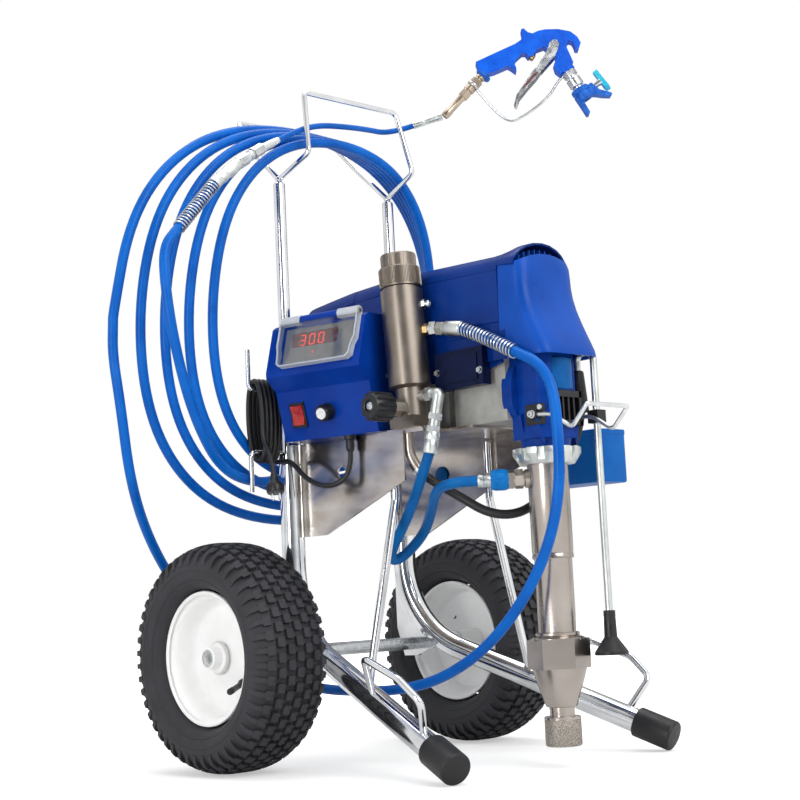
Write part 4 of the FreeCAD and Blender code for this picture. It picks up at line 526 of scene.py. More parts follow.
# %% Lid and lit digits
# Clear polycarbonate: you look through it, and its skin carries sharp reflections.
clear_lid, tree, shader = start("clear_polycarbonate", "F4F7FA", 0.0, 0.04, IOR=1.58,
                                Transmission_Weight=1.0)
relief(tree, shader, grain(tree, 25), 0.03)
# Its cut edges scatter the light and look milky.
lid_edge, tree, shader = start("polycarbonate_edge", "EEF3F8", 0.0, 0.12, IOR=1.58, Transmission_Weight=0.55)
relief(tree, shader, grain(tree, 3), 0.05)
# A lit segment: it glows red without lighting what stands round it.
led_red, tree, shader = start("red_led_segment", "D82A20", 0.0, 0.3, Emission_Strength=0.9)
shader.inputs["Emission Color"].default_value = linear("FF3A26")
tint(tree, shader, grain(tree, 2), "C81E14", "F04030")
print("finishes made:", len(bpy.data.materials))

# %% Each CAD piece gets the finish of its slot
finishes = {
    "chrome_frame": chrome, "tyre_rubber": tyre_rubber, "rim_white": rim_white, "steel": zinc,
    "black_rubber": black_rubber, "black_plastic": black_plastic, "plate_steel": plate_steel,
    "motor_grey": motor_grey, "casting_blue": casting_blue, "cover_blue": cover_blue, "box_blue": box_blue,
    "nickel": nickel, "silver": pale_alloy, "clear_lid": clear_lid, "red_plastic": red_plastic,
    "hose_blue": hose_blue, "gun_blue": gun_blue, "guard_blue": guard_blue, "tip_teal": tip_teal,
    "tool_blue": tool_blue}
slot_of = {row["node"]: row["material_slot"] for row in frame["record"]["subparts"]}
for name, node in nodes.items():
    for holder in node.material_slots:
        holder.material = finishes[slot_of[name]]
nodes["connecting_hose"].material_slots[0].material = short_hose
for cord, finish in ((paint_hose, hose_blue), (whip, hose_blue), (power_cord, black_rubber)):
    cord.data.materials.append(finish)
nodes["filter_manifold"].material_slots[0].material = filter_plate
print("finishes for", len(nodes), "CAD pieces")

# %% [markdown]
# ## Tools for shapes
# Most small parts of a machine are turned on a lathe, cut from a bar, or stamped and repeated round a
# ring. So there are three tools: one spins a profile, one pushes an outline out of its plane, and one is a
# Geometry Nodes tree that sets copies round a circle. Shapes are drawn along Z in millimetres, and a matrix
# puts them in place, so that each finished piece still has its object at the origin.


# %% Places and turns of a shape
def shift(x, y, z):
    """The matrix that moves a shape by millimetres."""
    return Matrix.Translation((x, y, z))


def turned(degrees, axis):
    """The matrix that turns a shape about an axis."""
    return Matrix.Rotation(math.radians(degrees), 4, axis)


def seat(origin, axis=(0, 0, 1)):
    """The matrix that sets a shape drawn along Z in millimetres onto an axis through a place of the cart."""
    lean = Vector((0, 0, 1)).rotation_difference(Vector(axis)).to_matrix().to_4x4()
    return Matrix.Translation(at(*origin)) @ lean @ Matrix.Scale(MM, 4)


# %% Adding shapes to a piece
def taken_in(whole, mesh, material):
    """Adds a mesh to a piece with one finish and forgets the mesh."""
    for face in mesh.polygons:
        face.material_index = material
    whole.from_mesh(mesh)
    bpy.data.meshes.remove(mesh)


def merge(whole, part, place, material=0, edge=0.0, steps=2, angle=28):
    """Softens a shape's sharp edges, sets it in place and adds it to a piece."""
    if edge:
        sharp = [side for side in part.edges
                 if len(side.link_faces) == 2 and side.calc_face_angle() > math.radians(angle)]
        bmesh.ops.bevel(part, geom=sharp, offset=edge, segments=steps, profile=0.5, affect="EDGES",
                        clamp_overlap=True)
    bmesh.ops.transform(part, matrix=place, verts=part.verts)
    mesh = bpy.data.meshes.new("part")
    part.to_mesh(mesh)
    part.free()
    taken_in(whole, mesh, material)


# %% Lathe and prism
def lathe(whole, profile, place, material=0, sides=48, edge=0.0):
    """Spins (radius, height) points about Z. They run upwards on an outer wall. Radius 0 closes an end."""
    part = bmesh.new()
    rings = []
    for radius, height in profile:
        spots = 1 if radius < 1e-6 else sides
        rings.append([part.verts.new((radius * math.cos(2 * math.pi * number / sides),
                                      radius * math.sin(2 * math.pi * number / sides), height))
                      for number in range(spots)])
    for low, high in zip(rings, rings[1:]):
        for number in range(sides):
            after = number + 1
            corners = (low[number % len(low)], low[after % len(low)], high[after % len(high)],
                       high[number % len(high)])
            corners = list(dict.fromkeys(corners))
            if len(corners) > 2:
                part.faces.new(corners)
    merge(whole, part, place, material, edge)


def prism(whole, outline, low, high, place, material=0, edge=0.0, steps=2, angle=28):
    """Pushes an outline of (x, y) points, anticlockwise, from one height to another."""
    part = bmesh.new()
    foot = [part.verts.new((x, y, low)) for x, y in outline]
    head = [part.verts.new((x, y, high)) for x, y in outline]
    part.faces.new(foot[::-1])
    part.faces.new(head)
    for number in range(len(outline)):
        after = (number + 1) % len(outline)
        part.faces.new((foot[number], foot[after], head[after], head[number]))
    merge(whole, part, place, material, edge, steps, angle)


def slab(whole, low, high, place, material=0, edge=0.0, steps=2):
    """A block between two corners."""
    outline = ((low[0], low[1]), (high[0], low[1]), (high[0], high[1]), (low[0], high[1]))
    prism(whole, outline, low[2], high[2], place, material, edge, steps)


def polygon(sides, across_flats, spin=0.0):
    """The corners of a nut's outline."""
    radius = across_flats / 2 / math.cos(math.pi / sides)
    return [(radius * math.cos(2 * math.pi * number / sides + spin),
             radius * math.sin(2 * math.pi * number / sides + spin)) for number in range(sides)]


# %% A finished piece
def finished(name, shape, body, material_slot, materials, *stands_for, crease=32):
    """Turns a shape into a piece: its finishes, its body and the CAD pieces that it stands for."""
    mesh = bpy.data.meshes.new(name)
    shape.to_mesh(mesh)
    shape.free()
    mesh.polygons.foreach_set("use_smooth", [True] * len(mesh.polygons))
    mesh.set_sharp_from_angle(angle=math.radians(crease))
    for material in materials:
        mesh.materials.append(material)
    piece = in_scene(name, mesh)
    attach(piece, body)
    if stands_for:
        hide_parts(*stands_for)
    print(name, "rides on", body, "with", len(mesh.polygons), "faces")
    return piece


# %% What every tree has
def socket(tree, name, kind, value=None):
    """A named input of a tree."""
    made = tree.interface.new_socket(name, in_out="INPUT", socket_type=kind)
    if value is not None:
        made.default_value = value
    return made.identifier


def new_tree(name):
    """A tree with a geometry input and a geometry output."""
    tree = bpy.data.node_groups.new(name, "GeometryNodeTree")
    tree.interface.new_socket("Geometry", in_out="INPUT", socket_type="NodeSocketGeometry")
    tree.interface.new_socket("Geometry", in_out="OUTPUT", socket_type="NodeSocketGeometry")
    return tree


def end_tree(tree, given, geometry):
    """Makes the copies real, gives them their finish and hands them out."""
    real = add(tree, "GeometryNodeRealizeInstances", {"Geometry": geometry.outputs[0]})
    dressed = add(tree, "GeometryNodeSetMaterial", {"Geometry": real.outputs[0],
                                                    "Material": given.outputs["Finish"]})
    add(tree, "NodeGroupOutput", {"Geometry": dressed.outputs[0]})
    print(tree.name, "has", len(tree.nodes), "nodes")


# %% Copies round a ring
ring_tree = new_tree("ring_of_copies")
RING = {name: socket(ring_tree, name, kind, value) for name, kind, value in (
    ("Item", "NodeSocketObject", None), ("Count", "NodeSocketInt", 12), ("Radius", "NodeSocketFloat", 10.0),
    ("Phase", "NodeSocketFloat", 0.0), ("Finish", "NodeSocketMaterial", None))}
given = add(ring_tree, "NodeGroupInput")
circle = add(ring_tree, "GeometryNodeMeshCircle", {"Vertices": given.outputs["Count"],
                                                   "Radius": given.outputs["Radius"]})
item = add(ring_tree, "GeometryNodeObjectInfo", {"Object": given.outputs["Item"]})
spot = add(ring_tree, "GeometryNodeInputPosition")
facing = add(ring_tree, "FunctionNodeAlignRotationToVector", {"Vector": spot.outputs[0]}, axis="X",
             pivot_axis="Z")
copies = add(ring_tree, "GeometryNodeInstanceOnPoints", {
    "Points": circle.outputs[0], "Instance": item.outputs["Geometry"], "Rotation": facing.outputs[0]})
angle = add(ring_tree, "ShaderNodeCombineXYZ", {"Z": given.outputs["Phase"]})
moved = add(ring_tree, "GeometryNodeTransform", {"Geometry": copies.outputs[0],
                                                 "Rotation": angle.outputs[0]})
end_tree(ring_tree, given, moved)


# %% Running a tree
def grown(tree, values, base=None):
    """Runs a tree once and returns its plain mesh."""
    host = in_scene("host", base or bpy.data.meshes.new("host"))
    modifier = host.modifiers.new("nodes", "NODES")
    modifier.node_group = tree
    for key, value in values.items():
        modifier[key] = value
    bpy.context.view_layer.update()
    mesh = bpy.data.meshes.new_from_object(host.evaluated_get(bpy.context.evaluated_depsgraph_get()))
    host.modifiers.remove(modifier)
    data = host.data
    bpy.data.objects.remove(host)
    (bpy.data.curves if isinstance(data, bpy.types.Curve) else bpy.data.meshes).remove(data)
    return mesh


def repeated(whole, draw, tree, names, values, place, material):
    """Draws one small shape, sets its copies with a tree and adds them to a piece."""
    small = bmesh.new()
    draw(small)
    mesh = bpy.data.meshes.new("item")
    small.to_mesh(mesh)
    small.free()
    item = in_scene("item", mesh)
    copies = grown(tree, {names["Item"]: item, **{names[name]: value for name, value in values.items()}})
    bpy.data.objects.remove(item)
    bpy.data.meshes.remove(mesh)
    copies.transform(place)
    taken_in(whole, copies, material)


def ring(whole, draw, count, radius, place, material=0, phase=0.0):
    """Sets copies of a small shape round a ring. It is drawn with X pointing out of the ring."""
    repeated(whole, draw, ring_tree, RING, {"Count": count, "Radius": radius, "Phase": phase}, place,
             material)


HERE = Matrix.Identity(4)

# %% [markdown]
# ## Tyres
# A turf tyre has a round shoulder and many small square lugs in staggered rows, so that it grips grass
# without tearing it. The carcass is one spun profile. Each row of lugs is one small notched block, leaned to
# follow the crown, and the ring tree sets 48 of them round the wheel, every other row half a step on.

# %% Tread blocks
WHEEL_HALF_TRACK = 250
TYRE_RADIUS = 165
LUGS = 48
SHOULDER_RADIUS = 151.5
HALF_A_LUG = math.pi / LUGS
LUG_ROWS = ((0, 159.4, 0, 0), (15, 159.2, 3, 1), (-15, 159.2, -3, 1), (29.5, 157.4, 12, 0),
            (-29.5, 157.4, -12, 0), (43, 152.4, 30, 1), (-43, 152.4, -30, 1))
TO_THE_CROWN = ((97, -36), (101, -45), (106, -53), (114, -59), (122, -61.5), (130, -61.8), (137, -60.5),
                (143, -57), (149.5, -50.5), (154.5, -40), (158, -25), (159.6, 0))
CARCASS = TO_THE_CROWN + tuple((radius, -across) for radius, across in TO_THE_CROWN[-2::-1])


def lug(lean):
    """One tread block: a square with a notch in its trailing edge, sunk a little into the carcass."""
    def draw(small):
        outline = ((-6.2, -5.6), (6.2, -5.6), (6.8, 0.8), (6.2, 5.6), (2.2, 5.6), (0, 3.6), (-2.2, 5.6),
                   (-6.2, 5.6), (-6.8, 0.8))
        upright = turned(90 - lean, "Y")
        prism(small, outline, -1.6, 5.2, upright @ turned(90, "Z"), 0, 0.7, 1)
    return draw


def shoulder_lug(side):
    """A long tooth that runs over the shoulder and down the side wall."""
    def draw(small):
        outline = [(part, side * across) for part, across in (
            (-2, -3), (3.5, -3), (2.2, 3.2), (-3.4, 9), (-10.5, 11.2), (-17, 11.8), (-17, 8), (-8, 5))]
        if side < 0:
            outline.reverse()
        prism(small, outline, -3.6, 3.6, turned(90, "X"), 0, 0.6, 1)
    return draw


# %% Tyres
WALL_RIBS = ((112, 58), (126, 62))
for side, name in ((-1, "left"), (1, "right")):
    wheel = seat((side * WHEEL_HALF_TRACK, 0, TYRE_RADIUS), (1, 0, 0))
    shape = bmesh.new()
    lathe(shape, CARCASS, wheel, 0, 96)
    for across, radius, lean, offset in LUG_ROWS:
        ring(shape, lug(lean), LUGS, radius, wheel @ shift(0, 0, across), 0, HALF_A_LUG * offset)
    for across in (-1, 1):
        spot = wheel @ shift(0, 0, across * 50)
        ring(shape, shoulder_lug(across), LUGS, SHOULDER_RADIUS, spot, 0, HALF_A_LUG)
    for radius, height in WALL_RIBS:
        for across in (-1, 1):
            lathe(shape, ((radius - 1.2, across * (height - 0.9)), (radius, across * (height + 0.4)),
                          (radius + 1.2, across * (height - 0.6)))[::across], wheel, 0, 96)
    finished(f"turf_tyre_{name}", shape, f"wheel_{name}", "tyre_rubber", [tyre_rubber], f"tyre_{name}")

# %% [markdown]
# ## Rims
# The rims are pressed steel halves with white powder coat: a rolled lip, a drop for the bead, a dished
# disc and a hub tube with a ball bearing. A spun profile gives all of it, with more points where the metal
# bends. A black rubber valve stands in the dish of each wheel.

# %% Rims
HUB_TUBE = ((9.6, -34), (14.6, -34), (15.4, -33), (15.4, 20), (16.5, 21.5), (22, 22.5), (24, 20))
HUB_END = ((24, 20), (22, 22.5), (17, 24), (16, 27), (15.6, 37.5), (14.6, 38.4), (9.6, 38.4), (9.6, 30))
DISC_FRONT = ((16, 15), (26, 13.5), (40, 9), (56, 2.5), (68, -0.5), (76, -0.5), (81, 3), (83.4, 9),
              (84.2, 18), (84.6, 29), (86.6, 33), (90.6, 36.4), (94, 38), (96.4, 40.6), (95.6, 43.4),
              (93, 43.8), (90.8, 41.6))
DISC_BACK = ((16, 11.5), (26, 10), (40, 5.5), (56, -1), (68, -4), (77, -4), (81.6, -8), (83.4, -14),
             (84.6, -29), (86.6, -33), (90.6, -36.4), (94, -38), (96.4, -40.6), (95.6, -43.4), (93, -43.8),
             (90.8, -41.6))
for side, name in ((-1, "left"), (1, "right")):
    out = seat((side * WHEEL_HALF_TRACK, 0, TYRE_RADIUS), (side, 0, 0))
    shape = bmesh.new()
    lathe(shape, HUB_TUBE, out, 0, 48)
    lathe(shape, HUB_END, out, 0, 48)
    lathe(shape, DISC_FRONT[::-1], out, 0, 96)
    lathe(shape, DISC_BACK, out, 0, 96)
    lathe(shape, ((83.4, -14), (85.6, -10), (86, 10), (83.4, 9)), out, 0, 96)
    lathe(shape, ((18, 18), (19.4, 19.6), (21.4, 19.2), (22.4, 16.6)), out, 0, 48)
    lathe(shape, ((9, 33), (12.6, 33), (12.6, 38.8), (9, 38.8)), out, 1, 32, 0.4)
    stem = out @ shift(-38, 38 * side, 8) @ turned(24, (0.7, 0.7 * side, 0))
    lathe(shape, ((0, -6), (6.6, -6), (6.6, 0), (5, 3), (4.2, 6), (4.2, 22), (4.8, 23), (4.8, 31), (4, 32.4),
                  (0, 32.4)), stem, 2, 20, 0.3)
    finished(f"steel_rim_{name}", shape, f"wheel_{name}", "rim_white", [rim_white, zinc, black_rubber],
             f"rim_{name}", crease=40)

# %% [markdown]
# ## Spring guards and ferrules
# Where a hose goes into a fitting it would kink, so a steel spring sleeves it, and a crimped ferrule holds
# its end. A spring is a helix that follows a path, and Geometry Nodes make that directly: the path is
# resampled, each point moves out along the path's normal as the angle grows, and a round wire follows.

# %% A helix along a path
spring_tree = new_tree("spring_along_path")
SPRING = {name: socket(spring_tree, name, kind, value) for name, kind, value in (
    ("Turns", "NodeSocketFloat", 20.0), ("Radius", "NodeSocketFloat", 0.009),
    ("Wire", "NodeSocketFloat", 0.001), ("Steps", "NodeSocketInt", 400),
    ("Finish", "NodeSocketMaterial", None))}
given = add(spring_tree, "NodeGroupInput")
line = add(spring_tree, "GeometryNodeResampleCurve", {"Curve": given.outputs["Geometry"],
                                                      "Count": given.outputs["Steps"]})
along = add(spring_tree, "GeometryNodeSplineParameter")
turns = add(spring_tree, "ShaderNodeMath", {0: along.outputs["Factor"], 1: given.outputs["Turns"]},
            operation="MULTIPLY")
angle = add(spring_tree, "ShaderNodeMath", {0: turns.outputs[0], 1: 2 * math.pi}, operation="MULTIPLY")
normal = add(spring_tree, "GeometryNodeInputNormal")
tangent = add(spring_tree, "GeometryNodeInputTangent")
spin = add(spring_tree, "ShaderNodeVectorRotate", {"Vector": normal.outputs[0], "Axis": tangent.outputs[0],
                                                   "Angle": angle.outputs[0]}, rotation_type="AXIS_ANGLE")
outward = add(spring_tree, "ShaderNodeVectorMath", {0: spin.outputs[0], "Scale": given.outputs["Radius"]},
              operation="SCALE")
wound = add(spring_tree, "GeometryNodeSetPosition",
            {"Geometry": line.outputs[0], "Offset": outward.outputs[0]})
round_wire = add(spring_tree, "GeometryNodeCurvePrimitiveCircle",
                 {"Resolution": 8, "Radius": given.outputs["Wire"]})
solid = add(spring_tree, "GeometryNodeCurveToMesh", {"Curve": wound.outputs[0],
                                                     "Profile Curve": round_wire.outputs[0],
                                                     "Fill Caps": True})
end_tree(spring_tree, given, solid)


# %% Winding a spring
STEPS_TO_A_TURN = 22


def spring(whole, points, turns, radius, wire):
    """Winds a spring round a gentle path through points of the cart."""
    data = bpy.data.curves.new("spring_path", "CURVE")
    data.dimensions = "3D"
    path = data.splines.new("BEZIER")
    path.bezier_points.add(len(points) - 1)
    for knot, point in zip(path.bezier_points, points):
        knot.co = at(*point)
        knot.handle_left_type = knot.handle_right_type = "AUTO"
    coil = grown(spring_tree, {SPRING["Turns"]: turns, SPRING["Radius"]: radius * MM,
                               SPRING["Wire"]: wire * MM, SPRING["Steps"]: round(turns * STEPS_TO_A_TURN)},
                 data)
    taken_in(whole, coil, 0)


def between(first, last):
    """The matrix of an axis from one place to another, and its length."""
    way = Vector(last) - Vector(first)
    return seat(first, way.normalized()), way.length


# %% Where the gun is held
GUN_HOME = (323, -196, 1141)
gun_place = (Matrix.Translation(at(*GUN_HOME)) @ Matrix.Rotation(AZIMUTH, 4, "Z")
             @ turned(56, "Y") @ Matrix.Scale(MM, 4))


def in_gun(x, z):
    """A place of the gun's middle plane in the cart's millimetres."""
    spot = gun_place @ Vector((x, 0, z))
    return Vector((spot.x / MM - AXLE_X, spot.y / MM - AXLE_Y, spot.z / MM))


# %% Guards and ferrules of the paint hose
fittings = bmesh.new()
guard_path = ((-75, -432, 561), (-75, -384, 586), (-75, -333, 608.5))
for points in (((-344, -40, 779), (-277, -40, 854)), guard_path):
    spring(fittings, points, turns=18, radius=9.1, wire=1.4)
place, length = between((-277, -40, 854), (-231, -40, 892))
lathe(fittings, ((7, -2), (10.2, -2), (10.6, 0), (9.6, 4), (9.6, 10), (8.9, 12), (8.9, 15), (9.6, 17),
                 (9.6, 24), (8.9, 26), (8.9, 29), (9.6, 31), (9.6, length - 8), (8.6, length), (0, length)),
      place, 1, 32)
place, length = between((-75, -333, 608.5), (-75, -287.4, 615.5))
ferrule = ((7, -2), (10.4, -2), (10.9, -1), (10.9, 28), (10.4, 30), (8, 32), (8, 34), (0, 34))
lathe(fittings, ferrule, place, 1, 36)
prism(fittings, polygon(6, 18), 33, length, place, 1, 1)
hose_fittings = finished("hose_fittings", fittings, "sprayer", "silver", [zinc, pale_alloy], "hose_ends",
                         crease=30)

# %% Fittings of the whip hose
fittings = bmesh.new()
place, length = between((-231, -40, 892), (-185, -40, 922))
prism(fittings, polygon(6, 17), 0, 20, place, 0, 0.8)
collar = ((0, 20), (6.4, 20), (6.4, 26), (8, 27), (8, 30), (6.4, 31), (6.4, 34), (0, 34))
lathe(fittings, collar, place, 0, 24)
prism(fittings, polygon(6, 16), 34, length, place, 0, 0.8)
place, length = between((-185, -40, 922), (-153, -40, 940))
lathe(fittings, ((0, 0), (7, 0), (7.2, 3), (6.2, 7), (6.2, 20), (5.4, length - 6), (5, length), (0, length)),
      place, 1, 28)
whip_fittings = finished("whip_fittings", fittings, "sprayer", "silver", [zinc, pale_alloy], crease=30)
fittings = bmesh.new()
place, length = between(in_gun(-16.3, -222.5), whip_end)
lathe(fittings, ((0, 0), (6.4, 0), (6.4, 9), (5.6, 11), (5.6, length * 0.5), (5, length * 0.55),
                 (5.6, length * 0.62), (5.6, length - 2), (4.8, length), (0, length)), place, 1, 24)
whip_collar = finished("whip_collar", fittings, "sprayer", "silver", [zinc, pale_alloy], crease=30)

# %% The plug
shape = bmesh.new()
place, length = between(cord_points[-1], cord_points[-1] + Vector((-2, -6, -27)).normalized() * 40)
lathe(shape, ((0, -1), (4.4, -1), (5, 2), (5, 4), (5.8, 5), (5.8, 7), (6.6, 8), (8, 12), (11.5, 15),
              (12.8, 19), (12.8, 27), (12, 29), (0, 29)), place, 0, 32)
for across in (-5, 5):
    pin = place @ shift(across, 0, 29)
    lathe(shape, ((0, -1), (2, -1), (2, 10), (1.3, 11), (0, 11)), pin, 1, 16)
ring(shape, lambda small: slab(small, (-1.2, -0.8, 18), (0.5, 0.8, 27), HERE, 0, 0.2, 1), 18, 12.8, place)
plug = finished("moulded_plug", shape, "sprayer", "black_plastic", [black_plastic, zinc], "power_plug")

# %% [markdown]
# ## Control box
# The control box is a moulded shell with a leaning display face, a ridge, and a lower panel that tucks in
# so that rain runs off the controls. Its side view is one outline pushed across the box, with soft edges.
# A clear flip lid on a hinge covers the display, which shows only digits.

# %% Control box
box_place = Matrix.Translation(at(*BOX_CORNER)) @ Matrix.Rotation(BOX_ANGLE, 4, "Z") @ Matrix.Scale(MM, 4)
SIDE_VIEW = turned(90, "X")
BOX_WIDTH = 172
BOX_VIEW = ((0, 477), (47, 477), (66, 550), (88, 570), (88, 578), (68, 645), (60, 650), (0, 650))
FACE_LEAN = math.atan2(20, 67)
PANEL_LEAN = 14.6
HINGE = (72, 652)


def on_panel(outward, along, height):
    """A place on the lower panel, with Z across the panel's face."""
    return box_place @ shift(outward, along, height) @ turned(PANEL_LEAN, "Y")


shape = bmesh.new()
prism(shape, BOX_VIEW, -BOX_WIDTH, 0, box_place @ SIDE_VIEW, 0, 4.5, 3, 12)
face = box_place @ shift(78, 0, 611.5) @ Matrix.Rotation(-FACE_LEAN, 4, "Y")
for low, high in (((-4, 28, 30), (1.2, 158, 32.4)), ((-4, 28, -34), (1.2, 158, -31.6)),
                  ((-4, 28, -34), (1.2, 30.4, 32)), ((-4, 155.6, -34), (1.2, 158, 32))):
    slab(shape, low, high, face, 0, 0.6)
slab(shape, (-2, 30, -32), (0.5, 156, 30.4), face, 1, 0.3, 1)
slab(shape, (-1, 44, -1), (0.9, 128, 22), face, 5, 0.3, 1)
lit_dot = face @ shift(0.4, 86, -12) @ turned(90, "Y")
lathe(shape, ((0, 0), (1.6, 0), (1.6, 0.7), (0, 0.7)), lit_dot, 3, 16)
for end, quarter in ((0, 90), (BOX_WIDTH, -90)):
    for height in (490, 560, 632):
        spot = box_place @ shift(20, end, height) @ turned(quarter, "X")
        lathe(shape, ((0, -1), (3.4, -1), (3.4, 0.6), (2.4, 1.4), (0, 1.4)), spot, 4, 20)
barrel = box_place @ shift(HINGE[0], 60, HINGE[1]) @ turned(-90, "X")
lathe(shape, ((0, 0), (5.8, 0), (6.6, 0.8), (6.6, 67.2), (5.8, 68), (0, 68)), barrel, 0, 28)
slab(shape, (56, 60, 640), (71, 128, 655), box_place, 0, 1)

# %% Digits of the display
DIGIT_PITCH = 17
SEGMENTS = {"a": (0, 8, 9, 1), "b": (4.5, 4, 1, 7), "c": (4.5, -4, 1, 7), "d": (0, -8, 9, 1),
            "e": (-4.5, -4, 1, 7), "f": (-4.5, 4, 1, 7), "g": (0, 0, 9, 1)}
for number, lit in enumerate(("abgcd", "abcdef", "abcdef")):
    for name in lit:
        across, height, wide, tall = SEGMENTS[name]
        wide, tall = (wide - 1.6, 1.7) if wide > tall else (1.7, tall - 0.4)
        across, height = 81 + (number - 1) * DIGIT_PITCH + across, 9 + height
        slab(shape, (0.8, across - wide / 2, height - tall / 2), (1.2, across + wide / 2, height + tall / 2),
             face, 3)

# %% Frame of the power switch
bezel = on_panel(56.6, 35, 514)
for low, high in (((-6, -13.5, 15), (2.6, 13.5, 18.5)), ((-6, -13.5, -18.5), (2.6, 13.5, -15)),
                  ((-6, -13.5, -18.5), (2.6, -10.6, 18.5)), ((-6, 10.6, -18.5), (2.6, 13.5, 18.5))):
    slab(shape, low, high, bezel, 2, 0.7)
finished("control_enclosure", shape, "sprayer", "box_blue",
         [box_blue, panel_grey, black_plastic, led_red, zinc, smoked_window], "control_box")

# %% Display lid
lid_place = box_place @ shift(HINGE[0], 22, HINGE[1]) @ Matrix.Rotation(-FACE_LEAN, 4, "Y")
LID_OUTLINE = ((9, -73), (132, -73), (138, -68), (139.5, -52), (144, -42), (144, -4), (0, -4), (0, -40),
               (2.5, -50), (4, -68))
LID_MIDDLE = (72, -39)
OPEN_EDGE = 5
# a drawing whose x runs along the lid and whose y runs up it
CROSS_VIEW = Matrix(((0, 0, 1, 0), (1, 0, 0, 0), (0, 1, 0, 0), (0, 0, 0, 1)))
shape = bmesh.new()
prism(shape, LID_OUTLINE, 2.4, 4.4, lid_place @ CROSS_VIEW, 0, 0.8)
inner = [(LID_MIDDLE[0] + (along - LID_MIDDLE[0]) * 0.965, LID_MIDDLE[1] + (height - LID_MIDDLE[1]) * 0.94)
         for along, height in LID_OUTLINE]
for number in range(len(LID_OUTLINE)):
    after = (number + 1) % len(LID_OUTLINE)
    if number != OPEN_EDGE:
        edge_strip = (LID_OUTLINE[number], LID_OUTLINE[after], inner[after], inner[number])
        prism(shape, edge_strip, -5.4, 5.2, lid_place @ CROSS_VIEW, 2, 0.3, 1)
along_lid = lid_place @ turned(-90, "X")
for low, high in ((2, 37.4), (106.6, 144)):
    knuckle = ((3.2, low), (6.8, low), (7.6, low + 1), (7.6, high - 1), (6.8, high), (3.2, high))
    lathe(shape, knuckle, along_lid, 2, 28)
    slab(shape, (1.6, low, -8), (4.8, high, -3), lid_place, 0, 0.5, 1)
lathe(shape, ((0, 1), (3, 1), (3, 145), (0, 145)), along_lid, 1, 16)
finished("flip_lid", shape, "lid", "clear_lid", [clear_lid, zinc, lid_edge], "display_lid")

# %% Rocker
shape = bmesh.new()
rocker = on_panel(57.1, 35, 514)
ROCKER_VIEW = ((-4, -14.6), (4.8, -14.6), (3.4, -6), (2.6, 0), (3.4, 6), (4.8, 14.6), (-4, 14.6))
prism(shape, ROCKER_VIEW, -10.2, 10.2, rocker @ SIDE_VIEW, 0, 0.9, 3, 20)
for number in range(5):
    slab(shape, (3.1, -6, 6.4 + number * 1.6), (4.2 + number * 0.14, 6, 7 + number * 1.6), rocker, 0, 0.2, 1)
finished("red_rocker", shape, "switch", "red_plastic", [red_plastic], "power_switch")

# %% Pressure knob, as large as its solid
shape = bmesh.new()
knob = on_panel(56.6, 90, 514) @ turned(90, "Y")
knob_points = [knob.inverted() @ vertex.co for vertex in nodes["pressure_knob"].data.vertices]
knob_reach = max(point.z for point in knob_points)
knob_radius = max(point.xy.length for point in knob_points)
print("pressure knob", round(knob_reach, 1), "mm long,", round(knob_radius, 1), "mm in radius")
lathe(shape, ((2.8, -11), (2.8, 0.6), (knob_radius - 0.6, 0.6), (knob_radius - 0.2, 2),
              (knob_radius - 0.8, 4), (knob_radius - 1.6, knob_reach - 3),
              (knob_radius - 3, knob_reach - 0.6), (knob_radius - 4.6, knob_reach - 0.4)), knob, 0, 40)
white_cap = ((knob_radius - 4.6, knob_reach - 1.2), (knob_radius - 4.8, knob_reach), (0, knob_reach))
lathe(shape, white_cap, knob, 1, 40)
ring(shape, lambda small: slab(small, (-1.4, -0.9, 3.4), (0.5, 0.9, knob_reach - 3), HERE, 0, 0.3, 1), 24,
     knob_radius - 1.3, knob)
finished("pressure_dial", shape, "pressure", "black_plastic", [black_plastic, white_plastic],
         "pressure_knob")

# %% Prime knob
shape = bmesh.new()
valve = seat((-136, -243, 505), (-1, 0, 0))
lathe(shape, ((4, 1.4), (14, 1.4), (18.6, 3), (19, 6), (19.6, 8), (20, 22), (19, 34), (16.5, 38.6), (10, 40),
              (8.6, 39.2), (8.6, 37.5), (4, 37.5)), valve, 0, 48)
GRIP_RIB = ((-2, -2.6), (0.9, -1.9), (0.9, 1.9), (-2, 2.6))
ring(shape, lambda small: prism(small, GRIP_RIB, 5, 36, HERE, 0, 0.5, 1), 12, 20.1, valve)
lathe(shape, ((0, 34), (6, 34), (6, 38.4), (4.6, 39.6), (2.4, 39.8), (2.2, 40.3), (0, 40.5)), valve, 1, 24)
prism(shape, polygon(6, 8), 36, 39.2, valve, 1, 0.3)
finished("prime_handle", shape, "prime", "black_plastic", [black_plastic, zinc], "prime_knob")

# %% [markdown]
# ## Motor cover
# The cover is a long ABS moulding with a crowned top, rounded shoulders, a crease under each shoulder and a
# step low on its sides. Every cross-section is the same line with another top height, so the cover is a grid
# of such lines along its length, drawn in at the rear. Solidify gives it a wall.


# %% Sheets and rods
def grid_of(shape, rows, closed=False):
    """Joins rows of points, in the cart's millimetres, into quads."""
    made = [[shape.verts.new(at(*point)) for point in row] for row in rows]
    width = len(made[0])
    for low, high in zip(made, made[1:]):
        for number in range(width if closed else width - 1):
            after = (number + 1) % width
            shape.faces.new((low[number], low[after], high[after], high[number]))
    return made


